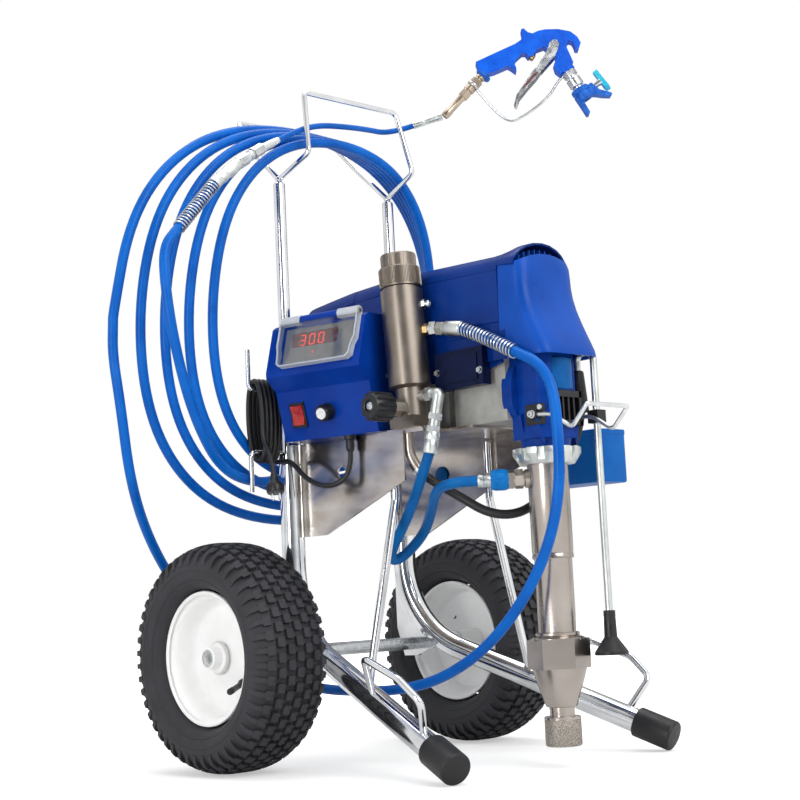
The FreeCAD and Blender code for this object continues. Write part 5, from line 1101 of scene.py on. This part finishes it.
def rod_of(whole, points, radius, material=0):
    """A round rod or hose through control points, as one closed tube."""
    data = bpy.data.curves.new("rod", "CURVE")
    data.dimensions = "3D"
    data.bevel_depth, data.bevel_resolution, data.use_fill_caps = radius * MM, 5, True
    path = data.splines.new("NURBS")
    path.points.add(len(points) - 1)
    for control, point in zip(path.points, points):
        control.co = (*at(*point), 1)
    path.order_u, path.use_endpoint_u, path.resolution_u = 3, True, 8
    holder = bpy.data.objects.new("rod", data)
    mesh = bpy.data.meshes.new_from_object(holder)
    bpy.data.objects.remove(holder)
    bpy.data.curves.remove(data)
    taken_in(whole, mesh, material)


# %% Cover sections
def between_stations(stations, spot):
    """The value at a spot along a list of (place, value) pairs, in falling order of place."""
    for (place_a, value_a), (place_b, value_b) in zip(stations, stations[1:]):
        if place_a >= spot >= place_b:
            return value_a + (value_b - value_a) * (place_a - spot) / (place_a - place_b)
    return stations[-1][1]


COVER_TOPS = ((30, 694), (20, 699), (-30, 704.5), (-75, 709), (-160, 713), (-240, 712.5), (-392, 708),
              (-440, 706))
FOOT_FOLD = (57.2, 5), (57.8, 3), (57.8, 0)
COVER_SIDE = ((60, 24), (59.3, 25), (60, 26.4), (60, 96), (59.8, 97.2), (58.6, 98), (58.4, 99.2),
              (58.4, 112), (57.4, 113.2), (57.2, 115))
COVER_SHOULDER = ((0, -1.5), (16, -1.2), (32, -0.2), (44, 2), (52, 6), (57, 12), (59.4, 18.5))


def dome(x, y):
    """How far the hood swells up towards the front of the cover."""
    part = min(1.0, max(0.0, (-375 - y) / 46))
    return 14 * part * part * (3 - 2 * part) * max(0.0, 1 - (x / 55) ** 2)


def cover_row(y, foot, tuck=0.0):
    """One cross-section of the cover, from one foot over the top to the other."""
    top = between_stations(COVER_TOPS, y)
    half = [(x, top - drop + dome(x, y)) for x, drop in COVER_SHOULDER + COVER_SIDE if top - drop > foot + 6]
    half += [(x, foot + rise) for x, rise in FOOT_FOLD]
    half = [(x - tuck * x / 58, foot + (z - foot) * (1 - tuck / 190)) for x, z in half]
    return [(x, y, z) for x, z in reversed(half)] + [(-x, y, z) for x, z in half[1:]]


def solid_wall(piece, thickness):
    """Gives an open sheet its wall and leaves a plain mesh."""
    wall = piece.modifiers.new("wall", "SOLIDIFY")
    wall.thickness, wall.offset = thickness * MM, -1
    bpy.context.view_layer.update()
    mesh = bpy.data.meshes.new_from_object(piece.evaluated_get(bpy.context.evaluated_depsgraph_get()))
    piece.modifiers.clear()
    old, piece.data = piece.data, mesh
    bpy.data.meshes.remove(old)
    mesh.set_sharp_from_angle(angle=math.radians(38))


def facing_out(shape, way):
    """Turns an open sheet's faces to its outer side, which looks along a given way."""
    bmesh.ops.recalc_face_normals(shape, faces=shape.faces)
    if sum(face.normal.dot(Vector(way)) for face in shape.faces) < 0:
        bmesh.ops.reverse_faces(shape, faces=shape.faces)


# %% Motor cover
TUCKED_ROWS = ((29.5, 14), (28.6, 7), (25.5, 3), (21, 0.8), (15, 0), (-30, 0), (-75, 0), (-91.6, 0),
               (-92.4, 0.9), (-93.6, 0.9), (-94.4, 0), (-130, 0), (-160, 0), (-200, 0), (-240, 0), (-290, 0),
               (-337, 0))
RISING_ROWS = ((-355, 545), (-375, 549.5), (-388, 552.5), (-391.2, 553))
shape = bmesh.new()
rows = [cover_row(y, 541, tuck) for y, tuck in TUCKED_ROWS] + [cover_row(y, foot) for y, foot in RISING_ROWS]
made = grid_of(shape, [row[::-1] for row in rows])
shape.faces.new(made[0])
bmesh.ops.recalc_face_normals(shape, faces=shape.faces)
cover = finished("motor_hood", shape, "sprayer", "cover_blue", [cover_blue], "motor_cover", crease=38)
solid_wall(cover, 3)

# %% Terminal block and side mouldings
CART = seat((0, 0, 0))
shape = bmesh.new()
slab(shape, (-73, -368, 526), (-57, -274, 580), CART, 0, 4.5, 4)
slab(shape, (-74.6, -358, 534), (-71, -284, 572), CART, 0, 1.6, 3)
for y, z in ((-362.5, 546), (-279.5, 552)):
    bolt = seat((-72.6, y, z), (-1, 0, 0))
    prism(shape, polygon(6, 7), -1, 4.6, bolt, 1, 0.5)
    lathe(shape, ((0, -1), (5, -1), (5, 0.8), (0, 0.8)), bolt, 1, 20)
for side in (-1, 1):
    ridge = Matrix.Translation(at(side * 59.4, 0, 0)) @ turned(90, "Z") @ Matrix.Scale(MM, 4)
    for trim, proud in ((((-300, 557), (-300, 586), (-402, 598), (-402, 557)), 1.1),
                        (((-300, 557), (-300, 572), (-402, 584), (-402, 557)), 2.2)):
        prism(shape, trim, -proud, proud, ridge @ SIDE_VIEW, 2, 1.1, 2)
# The terminal block's near-black blue is painted shade on the cover's plastic.
finished("terminal_block", shape, "sprayer", "cover_blue", [terminal_blue_painted_shade, zinc, cover_blue])

# %% [markdown]
# ## Front cover
# The nose is a second moulding. Its front drops almost straight and then flares over the pump's drive, and
# a hood stands over its top edge and leaves an arched vent with upright slats between; a black sheet behind
# the slats is painted shade for the dark inside of the vent. The nose is a stack of horizontal lines, the
# hood a few more of the cover's sections, and the slats are a row of copies.

# %% A row of copies
row_tree = new_tree("row_of_copies")
ROW = {name: socket(row_tree, name, kind, value) for name, kind, value in (
    ("Item", "NodeSocketObject", None), ("Count", "NodeSocketInt", 5),
    ("Step", "NodeSocketVector", (0, 0, 0)), ("Finish", "NodeSocketMaterial", None))}
given = add(row_tree, "NodeGroupInput")
line = add(row_tree, "GeometryNodeMeshLine", {"Count": given.outputs["Count"],
                                              "Offset": given.outputs["Step"]})
item = add(row_tree, "GeometryNodeObjectInfo", {"Object": given.outputs["Item"]})
copies = add(row_tree, "GeometryNodeInstanceOnPoints", {"Points": line.outputs[0],
                                                        "Instance": item.outputs["Geometry"]})
end_tree(row_tree, given, copies)


def row_of(whole, draw, count, step, place):
    """Sets copies of a small shape in a straight row."""
    repeated(whole, draw, row_tree, ROW, {"Count": count, "Step": step}, place, 0)


# %% Nose
NOSE_FRONT = ((690, 433), (686, 434.8), (676, 435.6), (660, 436), (645, 438), (628, 443), (610, 450.5),
              (592, 459), (576, 467), (566, 471.6), (560, 473), (557, 473))
shape = bmesh.new()
rows = []
for z, reach in NOSE_FRONT:
    tuck = max(0.0, (z - 640) / 50) * 2.2
    half = [(60 - tuck, -392), (60 - tuck, -402), (59.6 - tuck, -reach + 27), (58 - tuck, -reach + 15),
            (53.5 - tuck, -reach + 6.5), (46 - tuck, -reach + 2.2), (34, -reach + 0.4), (17, -reach),
            (0, -reach)]
    row = [(x, y, z) for x, y in half] + [(-x, y, z) for x, y in half[-2::-1]]
    swell = 14 * min(1.0, max(0.0, (z - 660) / 30)) ** 1.5
    rows.append([(x, y, z + swell * max(0.0, 1 - (x / 57) ** 2) * (y < -405)) for x, y, z in row])
grid_of(shape, [row[::-1] for row in rows])
facing_out(shape, (0, -1, 0))
# The nose's lighter blue is painted light for its lit front; the slats share it.
nose = finished("nose_shell", shape, "sprayer", "cover_blue", [nose_blue_painted_lit], "front_cover", crease=38)
solid_wall(nose, 3)

# %% Hood over the vent
shape = bmesh.new()
rows = []
for y, lift in ((-391.6, 0.0), (-400, 0.0), (-410, 0.0), (-418, 0.2), (-424, 0.4), (-427, 1.2)):
    top = between_stations(COVER_TOPS, y) - lift
    half = [(x - lift * x / 120, top - drop + dome(x, y)) for x, drop in COVER_SHOULDER]
    curve_back = [(x, y + (x / 58) ** 2 * (6 if y < -405 else 0), z) for x, z in half]
    rows.append(curve_back[::-1] + [(-x, along, z) for x, along, z in curve_back[1:]])
grid_of(shape, rows)
facing_out(shape, (0, 0, 1))
hood = finished("nose_hood", shape, "sprayer", "cover_blue", [cover_blue], crease=38)
solid_wall(hood, 2.6)

# %% Vent slats
shape = bmesh.new()
# A black sheet behind the slats fills the arch: painted shade for the dark inside of the vent.
inside = [(x, 700 - (x / 54) ** 2 * 8 + dome(x, -409) * 0.9) for x in range(50, -51, -10)]
prism(shape, [(x, -z) for x, z in ((-50, 664), (50, 664), *inside)][::-1], -412, -407,
      CART @ turned(-90, "X"), 1, 0.6, 1)
for number in range(9):
    x = -44 + number * 11
    slab(shape, (x - 0.8, -421, 682), (x + 0.8, -411, 699 - (x / 54) ** 2 * 4 + dome(x, -420) * 0.94), CART,
         0, 0.3, 1)
finished("vent_slats", shape, "sprayer", "cover_blue", [nose_blue_painted_lit, black_plastic])

# %% [markdown]
# ## Filter and valves
# The paint filter is a nickel-plated column with a knurled cap. A knurl is a ring of fine ribs, cut in one
# pass of a roller, so it is the ring tree again, with 84 ribs. Small hexagon plugs, a pressure sensor and
# the hose nipple screw into its side.

# %% Filter cap
FILTER_LEAN = math.radians(3.7)
column = seat((-92, -245, 477), (0, math.sin(FILTER_LEAN), math.cos(FILTER_LEAN)))
shape = bmesh.new()
lathe(shape, ((0, 200), (29, 200), (29, 202.4), (26.8, 203), (26.8, 204.6), (29.6, 205.6), (29.6, 207)),
      column, 0, 64)
lathe(shape, ((29.6, 207), (29.6, 233), (28.6, 234.6), (25.6, 235.4), (25.6, 253), (24.4, 254.8), (14, 255),
              (13, 254), (13, 248), (0, 248)), column, 0, 64)
FINE_RIB = ((-0.6, -0.8), (0.9, -0.1), (0.9, 0.1), (-0.6, 0.8))
BROAD_RIB = ((-0.5, -1.2), (0.6, -0.2), (0.6, 0.2), (-0.5, 1.2))
ring(shape, lambda small: prism(small, FINE_RIB, 208, 232.4, HERE), 84, 29.7, column)
ring(shape, lambda small: prism(small, BROAD_RIB, 237, 252, HERE), 28, 25.4, column)
finished("knurled_filter_cap", shape, "sprayer", "nickel", [filter_plate], "filter_cap", crease=30)

# %% Nipple and sensor
shape = bmesh.new()
FITTING_TURN = math.radians(21.5)
nipple = seat((-92, -236, 617), (math.sin(FITTING_TURN), -math.cos(FITTING_TURN), 0))
lathe(shape, ((0, 24), (8.4, 24), (8.4, 28), (7, 29), (7, 32), (0, 32)), nipple, 2, 28)
prism(shape, polygon(6, 15), 30, 37, nipple, 2, 0.9)
lathe(shape, ((0, 36), (6.4, 36), (6.4, 41), (0, 41)), nipple, 0, 24)
prism(shape, polygon(6, 18, 0.3), 40, 50, nipple, 1, 1)
sensor = seat((-92, -234, 655), (0.5, -0.866, 0))
prism(shape, polygon(6, 13), 26, 33, sensor, 1, 0.7)
lathe(shape, ((0, 33), (4, 33), (4, 35), (5.4, 36.4), (5.6, 38.4), (4.6, 40.4), (2.6, 41.4), (2.4, 42),
              (0, 42)), sensor, 1, 24)

# %% Elbows under the filter
rod_of(shape, ((-92, -233, 478), (-92, -233, 460), (-92, -233, 442), (-88, -238, 426), (-82, -243, 416)),
       7.4, 0)
lathe(shape, ((6, -2), (8.8, -2), (9.2, -1), (9.2, 3), (8.8, 4), (6, 4)),
      seat((-84, -241.5, 419), (5, -5, -9)), 1, 24)
rod_of(shape, ((-92, -245, 521), (-91, -270, 521), (-90.4, -284, 521), (-90, -297, 521), (-92, -295.5, 512),
               (-95, -293.2, 492), (-98, -291, 474)), 8.5, 3)
elbow_end, elbow_way = Vector((-98, -291, 474)), Vector((-8, 6, -47)).normalized()
for start_at, across in ((-18, 19), (0, 18)):
    prism(shape, polygon(6, across), start_at, start_at + 9, seat(elbow_end, elbow_way), 1, 0.9)
prism(shape, polygon(6, 19), 29, 40, seat((-92, -245, 521), (0.03, -1, 0)), 1, 1)
crimp = ((7.8, 8), (10, 8), (10.6, 9.4), (10.6, 18), (10.1, 19), (10.1, 20), (10.6, 21), (10.6, 37),
         (9.4, 39), (8, 39))
lathe(shape, crimp, seat(elbow_end, elbow_way), 3, 32)
finished("filter_plugs", shape, "sprayer", "silver", [nickel, zinc, brass, pale_alloy],
         "manifold_fittings")

# %% [markdown]
# ## Drive housing and hook
# The drive sits in an enamelled casting with a round boss for the gears, bolt lugs, and ribs down to its
# neck. A slotted black guard covers the window, and the pail hook is a sprung wire held by two black
# brackets. A casting has no sharp edge, so the CAD solid's own mesh is taken and its edges are eased.


# %% Eased edges
def eased(whole, name, width):
    """Adds a CAD piece's mesh to a shape with its sharp edges rounded."""
    part = bmesh.new()
    part.from_mesh(nodes[name].data)
    bmesh.ops.transform(part, matrix=nodes[name].matrix_world, verts=part.verts)
    bmesh.ops.remove_doubles(part, verts=part.verts, dist=1e-6)
    bmesh.ops.dissolve_limit(part, angle_limit=math.radians(1), verts=part.verts, edges=part.edges)
    merge(whole, part, HERE, 0, width * MM, 3, 30)


# %% Drive housing
BOLT_LUG = ((34, 556), (34, 474), (41, 480), (48, 490), (50, 500), (50, 524), (47, 536), (40, 548))
NECK_RIB = ((33, 436), (36.5, 446), (44, 478), (37, 482), (30, 446))
shape = bmesh.new()
eased(shape, "drive_housing", 1.6)
boss = seat((0, -432, 0))
lathe(shape, ((0, 510), (22, 510), (25, 511), (26, 513), (26, 554), (25, 556), (0, 556)), boss, 1, 64)
for side in (-1, 1):
    for along, half, outline, edge, steps in (
            (-389, 9, BOLT_LUG, 3.4, 3), (-436, 2.6, NECK_RIB, 0.9, 2), (-404, 2.6, NECK_RIB, 0.9, 2)):
        across = [(side * x, z) for x, z in outline][::side]
        prism(shape, across, -half, half, seat((0, along, 0)) @ SIDE_VIEW, 0, edge, steps)
finished("drive_casting", shape, "sprayer", "casting_blue", [casting_blue, boss_blue_painted_lit], "drive_housing",
         crease=34)

# %% Window guard
shape = bmesh.new()
for low, high in (((-24, -457, 500), (28, -446, 509)), ((-24, -457, 462), (28, -446, 468)),
                  ((-24, -457, 462), (-19, -446, 509)), ((23, -457, 462), (28, -446, 509))):
    slab(shape, low, high, CART, 0, 1.4)
row_of(shape, lambda small: slab(small, (-1.6, -455.6, 466), (1.6, -449, 502), HERE, 0, 0.6, 1), 3,
       (11, 0, 0), seat((-9, 0, 0)))
finished("window_guard", shape, "sprayer", "black_plastic", [black_plastic])

# %% Pail hook
HOOK_X = 42.5
shape = bmesh.new()
hook_side = ((HOOK_X, -426, 477), (HOOK_X, -440, 476), (HOOK_X, -463, 474), (HOOK_X, -480, 463),
             (HOOK_X, -497, 452), (HOOK_X, -507, 462.5), (HOOK_X, -519, 474.6), (HOOK_X, -525, 481),
             (HOOK_X - 6, -525, 481))
rod_of(shape, hook_side + tuple((-x, y, z) for x, y, z in reversed(hook_side)), 3, 0)
for side in (-1, 1):
    low_x, high_x = sorted((side * 37.6, side * 41.4))
    slab(shape, (low_x, -447, 463), (high_x, -414, 491), CART, 1, 1)
    low_x, high_x = sorted((side * 40, side * 47))
    slab(shape, (low_x, -438, 471), (high_x, -422, 483), CART, 1, 1.6)
    screw = seat((side * 46.4, -430, 477), (side, 0, 0))
    lathe(shape, ((0, -1), (5.6, -1), (5.6, 0.8), (4.6, 1), (4.6, 4.6), (4, 5.4), (2.5, 5.4), (2.3, 2.6),
                  (0, 2.6)), screw, 0, 28)
    screw = seat((side * 41, -442, 486), (side, 0, 0))
    prism(shape, polygon(6, 7), -1, 3.4, screw, 0, 0.5)
finished("sprung_pail_hook", shape, "sprayer", "steel", [hook_steel, black_plastic], "pail_hook")

# %% [markdown]
# ## Pump
# The pump's parts are turned from bar and plated. The outlet has a hexagon, a blue sleeve nut and a
# crimped ferrule, and the short hose goes up from it to the filter in a tight fold. The black drain hose
# runs behind the pump to its own tube, which ends in a soft cone inside the pail.

# %% Pump outlet
shape = bmesh.new()
outlet = seat((0, -412, 393), (-1, 1, 0))
lathe(shape, ((0, 26), (13, 26), (13, 32), (11, 33), (11, 37), (0, 37)), outlet, 0, 32)
prism(shape, polygon(6, 24), 35, 46, outlet, 0, 1.4)
lathe(shape, ((0, 45), (11.6, 45), (11.6, 49), (0, 49)), outlet, 0, 32)
prism(shape, polygon(6, 23, 0.4), 48, 56, outlet, 0, 1.2)
lathe(shape, ((7, 55), (12.6, 55), (14, 57), (14.6, 60), (14.6, 74), (13.6, 78), (11.6, 79.6), (7, 79.6)),
      outlet, 1, 40)
ring(shape, lambda small: slab(small, (-1, -1.6, 60), (0.5, 1.6, 74), HERE, 0, 0.5, 1), 12, 14.4, outlet, 1)
lathe(shape, ((7, 79), (9.6, 79), (10, 80.4), (10, 85), (9.2, 86), (9.2, 89), (10, 90), (10, 96), (9, 98),
              (7.4, 98)), outlet, 2, 32)
finished("outlet_swivel", shape, "sprayer", "nickel", [nickel, sleeve_blue, zinc], "pump_outlet")

# %% Held hoses
shape = bmesh.new()
rod_of(shape, ((-98, -291, 474), (-101, -288.8, 455), (-104.4, -286.2, 436.4), (-96, -262, 410),
               (-82, -228, 376), (-74, -192, 338), (-68, -158, 306), (-52, -142, 291), (-34, -152, 299),
               (-28, -190, 330), (-52, -232, 362), (-82, -274, 388), (-91, -321, 393), (-72, -340, 393),
               (-53.4, -358.6, 393)), 7.6, 0)
finished("filter_hose", shape, "sprayer", "hose_blue", [short_hose], "connecting_hose")
shape = bmesh.new()
rod_of(shape, ((-92, -233, 454), (-92, -233, 428), (-74, -250, 404), (-48, -282, 378), (-30, -325, 348),
               (0, -357, 346), (36, -372, 372), (64, -390, 415), (66, -416, 460), (60, -430, 500),
               (51, -433, 522), (51, -433, 542)), 6.5, 0)
place, length = between((62, -428, 484), (51, -433, 541))
cuff = ((6, 0), (9.4, 0), (10, 2), (9.6, 20), (8.6, length - 2), (7.6, length), (5, length))
lathe(shape, cuff, place, 0, 28)
finished("drain_line", shape, "sprayer", "black_rubber", [black_rubber], "drain_hose")

# %% Nut, gear housing and foot caps
for name, new_name, width, finish, slot_name in (
        ("jam_nut", "castle_nut", 0.9, pale_alloy, "silver"),
        ("gear_housing", "gear_casting", 3.0, motor_grey, "motor_grey"),
        ("foot_caps", "rubber_foot_caps", 1.6, black_rubber, "black_rubber")):
    shape = bmesh.new()
    eased(shape, name, width)
    finished(new_name, shape, "sprayer", slot_name, [finish], name, crease=34)

# %% Foot valve
PUMP = seat((0, -412, 0))
shape = bmesh.new()
lathe(shape, ((0, 170), (38, 170), (38, 172.6), (33, 175), (29.5, 175.4), (30.5, 177), (30.5, 180),
              (29, 181), (0, 181)), PUMP, 0, 64)
prism(shape, polygon(6, 75, 0.2), 132, 172, PUMP, 0, 2.6, 3)
lathe(shape, ((0, 78), (17.5, 78), (17.5, 80), (21, 81), (22.5, 84), (37, 129.6), (37.6, 132.4), (0, 133)),
      PUMP, 0, 64)
finished("hex_foot_valve", shape, "sprayer", "nickel", [pump_nickel], "foot_valve", crease=30)

# %% Strainer
shape = bmesh.new()
lathe(shape, ((0, 28), (22, 28), (24, 28.6), (25, 30.6), (25, 63), (24.4, 64)), PUMP, 0, 64)
neck = ((24.2, 63), (25, 64), (25, 66.6), (24, 68), (17, 68.4), (17, 79), (0, 79), (0, 60))
lathe(shape, neck, PUMP, 1, 64)
finished("sintered_strainer", shape, "sprayer", "nickel", [sintered, pump_nickel], "strainer", crease=30)

# %% Cylinder
shape = bmesh.new()
lathe(shape, ((0, 174), (24, 174), (26, 174.6), (26, 280), (26.4, 281), (28.5, 281.6), (28.5, 286),
              (28, 287), (28, 290), (28.5, 291), (28.5, 411), (0, 411)), PUMP, 0, 80)
finished("plated_pump_cylinder", shape, "sprayer", "nickel", [pump_nickel], "pump_cylinder", crease=30)

# %% Plug in the right side plate
shape = bmesh.new()
# The plug takes the boss's enamel, whose lighter blue is painted light.
lathe(shape, ((0, -2), (8.6, -2), (8.6, 0), (12, 0.6), (13, 1.6), (12.6, 3), (8, 4.6), (0, 5)),
      seat((103.4, -100, 426), (-1, 0, 0)), 0, 32)
finished("plate_plug", shape, "sprayer", "casting_blue", [boss_blue_painted_lit])

# %% [markdown]
# ## Toolbox
# The bin beside the pump is blow moulded: thin walls, round corners, a thicker rim, and a floor that is
# drawn in. It is a stack of round-cornered rectangles, up the outside and down the inside.


# %% Toolbox
CORNER_STEPS = 6


def rounded_row(low_x, high_x, low_y, high_y, radius, z):
    """A rectangle with round corners at one height."""
    row = []
    corners = ((high_x, high_y, 0), (low_x, high_y, 90), (low_x, low_y, 180), (high_x, low_y, 270))
    for centre_x, centre_y, start_at in corners:
        centre_x -= math.copysign(radius, centre_x - (low_x + high_x) / 2)
        centre_y -= math.copysign(radius, centre_y - (low_y + high_y) / 2)
        for step in range(CORNER_STEPS + 1):
            angle = math.radians(start_at + 90 * step / CORNER_STEPS)
            row.append((centre_x + radius * math.cos(angle), centre_y + radius * math.sin(angle), z))
    return row


shape = bmesh.new()
rows = [rounded_row(106.8 + inset, 171.5 - inset, -419 + inset, -300 - inset, max(2.0, 11 - inset), z)
        for inset, z in ((5, 388.2), (2, 388.8), (0.9, 391), (0.9, 457), (0, 458.4), (0, 464), (0.8, 465),
                         (2.6, 465), (3.4, 463.6), (3.8, 396), (6.5, 391.6))]
made = grid_of(shape, rows, closed=True)
shape.faces.new(made[0][::-1])
shape.faces.new(made[-1])
bmesh.ops.recalc_face_normals(shape, faces=shape.faces)
finished("moulded_toolbox", shape, "sprayer", "tool_blue", [tool_blue], "toolbox", crease=30)

# %% [markdown]
# ## Gun
# The gun's body is forged aluminium, anodised blue, with a slim polished trigger that straddles it. A
# bright wire guards the trigger, a champagne-coloured swivel takes the hose, and the reversible tip turns
# in a moulded guard with two wings.

# %% Gun body
GUN_SIDE = gun_place @ SIDE_VIEW


def on_gun(x, z, lean):
    """An axis in the gun's middle plane."""
    return gun_place @ shift(x, 0, z) @ turned(lean, "Y")


shape = bmesh.new()
grip = ((-54.5, -123), (-31, -130.8), (-22.5, -108), (-17, -84), (-11, -81.4), (-1, -78.6), (-6, -75.4),
        (-13.6, -73.6), (-18.7, -65.3), (-20, -52), (-17, -47.3), (-9, -47.3), (-6.6, -41), (-10.4, -27.3),
        (-6.8, -15.5), (9.8, -10.6), (20.4, -10.8), (26.5, -21), (37, -25), (47, -22.4), (45, -3),
        (43.6, 6.3), (30.7, 9.7), (17, 13), (10.4, 18.6), (9.6, 24.4), (14, 27.6), (21, 26.4), (27.3, 24),
        (30.6, 28), (24, 37), (12, 38.4), (-2, 34.6), (-17, 21), (-30, 3), (-35, -8), (-37, -18),
        (-43, -22.6), (-53, -24.6), (-54, -28.6), (-46, -32.4), (-39.6, -40), (-40, -52), (-46.6, -84))
prism(shape, grip, -11.5, 11.5, GUN_SIDE, 0, 4.2, 4, 40)
nut = on_gun(47, -7.6, 94.8)
lathe(shape, ((0, -3), (13, -3), (13.4, -1), (13.4, 1.4), (12.4, 2.6), (0, 2.6)), nut, 0, 32)
cuff = on_gun(-30.5, -126, 169)
lathe(shape, ((0, -4), (13, -4), (13.4, -2), (13.4, 1), (12, 2.4), (0, 2.4)), cuff, 1, 32)
finished("anodised_gun_body", shape, "sprayer", "gun_blue", [gun_blue, guard_blue], "gun_body", crease=34)

# %% Trigger
shape = bmesh.new()
cheek = ((-7, 3), (-3, 7), (5, 6), (12, -3), (17, -12), (20, -26), (24, -44), (15, -50), (9, -36), (3, -19),
         (-7, -5))
for low, high in ((-15.4, -13.2), (13.2, 15.4)):
    prism(shape, cheek, low, high, GUN_SIDE, 0, 0.6, 2)
blade = ((24, -46), (27.6, -57), (32, -78), (38, -100), (46, -112), (44, -114), (38, -111.6), (32, -104),
         (25, -84), (16.6, -61), (14, -51))
prism(shape, blade, -15.4, 15.4, GUN_SIDE, 0, 2.4, 3, 40)
insert = ((20, -52), (24, -54), (29, -78), (31, -92), (28, -88), (22, -68))
for low, high in ((-15.9, -14.4), (14.4, 15.9)):
    prism(shape, insert, low, high, GUN_SIDE, 1, 0.5, 2)
lathe(shape, ((0, -15.9), (2.9, -15.9), (2.9, 15.9), (0, 15.9)), gun_place @ turned(-90, "X"), 0, 24)
for across in (-1, 1):
    head = gun_place @ shift(0, across * 15.4, 0) @ turned(-90 * across, "X")
    lathe(shape, ((0, -0.5), (4.8, -0.5), (4.8, 1), (4, 1.8), (1.6, 1.8), (1.4, 1), (0, 1)), head, 0, 24)
finished("polished_trigger", shape, "trigger", "gun_blue", [polished_steel, trigger_red], "gun_trigger",
         crease=34)

# %% Knurled nut and trigger wire
shape = bmesh.new()
lathe(shape, ((0, -2), (9, -2), (9, 3), (0, 3)), nut, 0, 32)
prism(shape, polygon(6, 22), 2, 12, nut, 0, 1.2)
lathe(shape, ((0, 12), (9, 12), (9, 15), (11, 16), (11.6, 17), (11.6, 31), (11, 32), (8, 33), (8, 38),
              (0, 38)), nut, 0, 40)
ring(shape, lambda small: slab(small, (-0.8, -0.6, 17.4), (0.5, 0.6, 30.6), HERE, 0, 0.2, 1), 36, 11.7, nut)
wire = [in_gun(x, z) for x, z in ((50, -12), (50, -22), (54, -36), (62, -54), (65.4, -78), (66, -102),
                                  (64, -124), (60, -135), (48, -142), (34, -145), (14, -147), (-8, -148),
                                  (-28, -149))]
rod_of(shape, wire, 2.2, 0)

# %% Swivel and lock
swivel = on_gun(-31, -128.5, 169)
lathe(shape, ((0, 0), (8, 0), (8, 5), (6.6, 6), (6.6, 9), (0, 9)), swivel, 1, 28)
prism(shape, polygon(6, 17), 9, 20, swivel, 1, 1)
lathe(shape, ((0, 20), (7.4, 20), (7.4, 24), (9, 25), (9, 33), (7.4, 34), (7.4, 37), (0, 37)), swivel, 1, 32)
prism(shape, polygon(6, 16, 0.4), 36, 47, swivel, 1, 1)
lathe(shape, ((0, 46), (6.8, 46), (7, 48), (6, 52), (6, 78), (6.6, 80), (6.6, 90), (5.8, 92.8), (0, 92.8)),
      swivel, 1, 28)
lathe(shape, ((7, 19), (10.4, 19), (10.6, 20), (10.6, 22), (10, 23), (7, 23)), swivel, 0, 28)
lock = on_gun(-11, -42, 72)
lathe(shape, ((0, -3), (4, -3), (4, 1), (5.6, 1.6), (6.2, 2.6), (6.2, 7), (5.4, 8), (0, 8)), lock, 2, 28)
finished("gun_fittings", shape, "sprayer", "silver", [polished_steel, champagne, brass], "gun_metal",
         crease=32)

# %% Tip guard
shape = bmesh.new()
guard = on_gun(84, -11, 94.8)
lathe(shape, ((8, -1), (14, -1), (15, 0.6), (15, 7), (14, 8), (14, 9), (15, 10), (15, 20), (13.6, 22),
              (6.4, 22), (6, 14), (8, 12)), guard, 0, 48)
ring(shape, lambda small: slab(small, (-1, -1.4, 0.6), (0.6, 1.4, 7), HERE, 0, 0.4, 1), 18, 14.9, guard)
upper = ((88, 2), (106, -1), (110, 4), (118, 12), (126, 22), (124, 27), (120, 25), (106, 14), (96, 11.6),
         (88, 10))
lower = ((88, -18), (88, -23), (92, -26), (110, -27.4), (128, -29), (130, -26), (127, -22), (110, -20),
         (106, -16))
for wing in (upper, lower):
    prism(shape, wing, -8, 8, GUN_SIDE, 0, 1.8, 3)
finished("winged_tip_guard", shape, "sprayer", "guard_blue", [guard_blue], "tip_guard", crease=34)

# %% Reversing tip
shape = bmesh.new()
barrel = gun_place @ shift(95, 0, 0)
lathe(shape, ((0, -20), (4.2, -20), (4.9, -19), (4.9, 20), (6, 22), (6, 25), (0, 25)), barrel, 1, 28)
ARROW = ((-20, -4.4), (6, -4.4), (12, -6.6), (20, 0), (12, 6.6), (6, 4.4), (-20, 4.4), (-17, 0))
prism(shape, ARROW, 24, 32, barrel, 0, 1.4, 3)
finished("reversing_tip", shape, "tip", "tip_teal", [tip_teal, polished_steel], "spray_tip", crease=34)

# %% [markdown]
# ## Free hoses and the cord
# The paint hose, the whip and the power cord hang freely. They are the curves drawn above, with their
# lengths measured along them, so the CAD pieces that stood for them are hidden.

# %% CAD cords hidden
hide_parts("hose_feed", "hose_coil", "hose_tail")
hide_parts("whip_hose")
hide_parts("power_lead", "power_coil", "power_tail")
print("cords:", paint_hose.name, whip.name, power_cord.name)
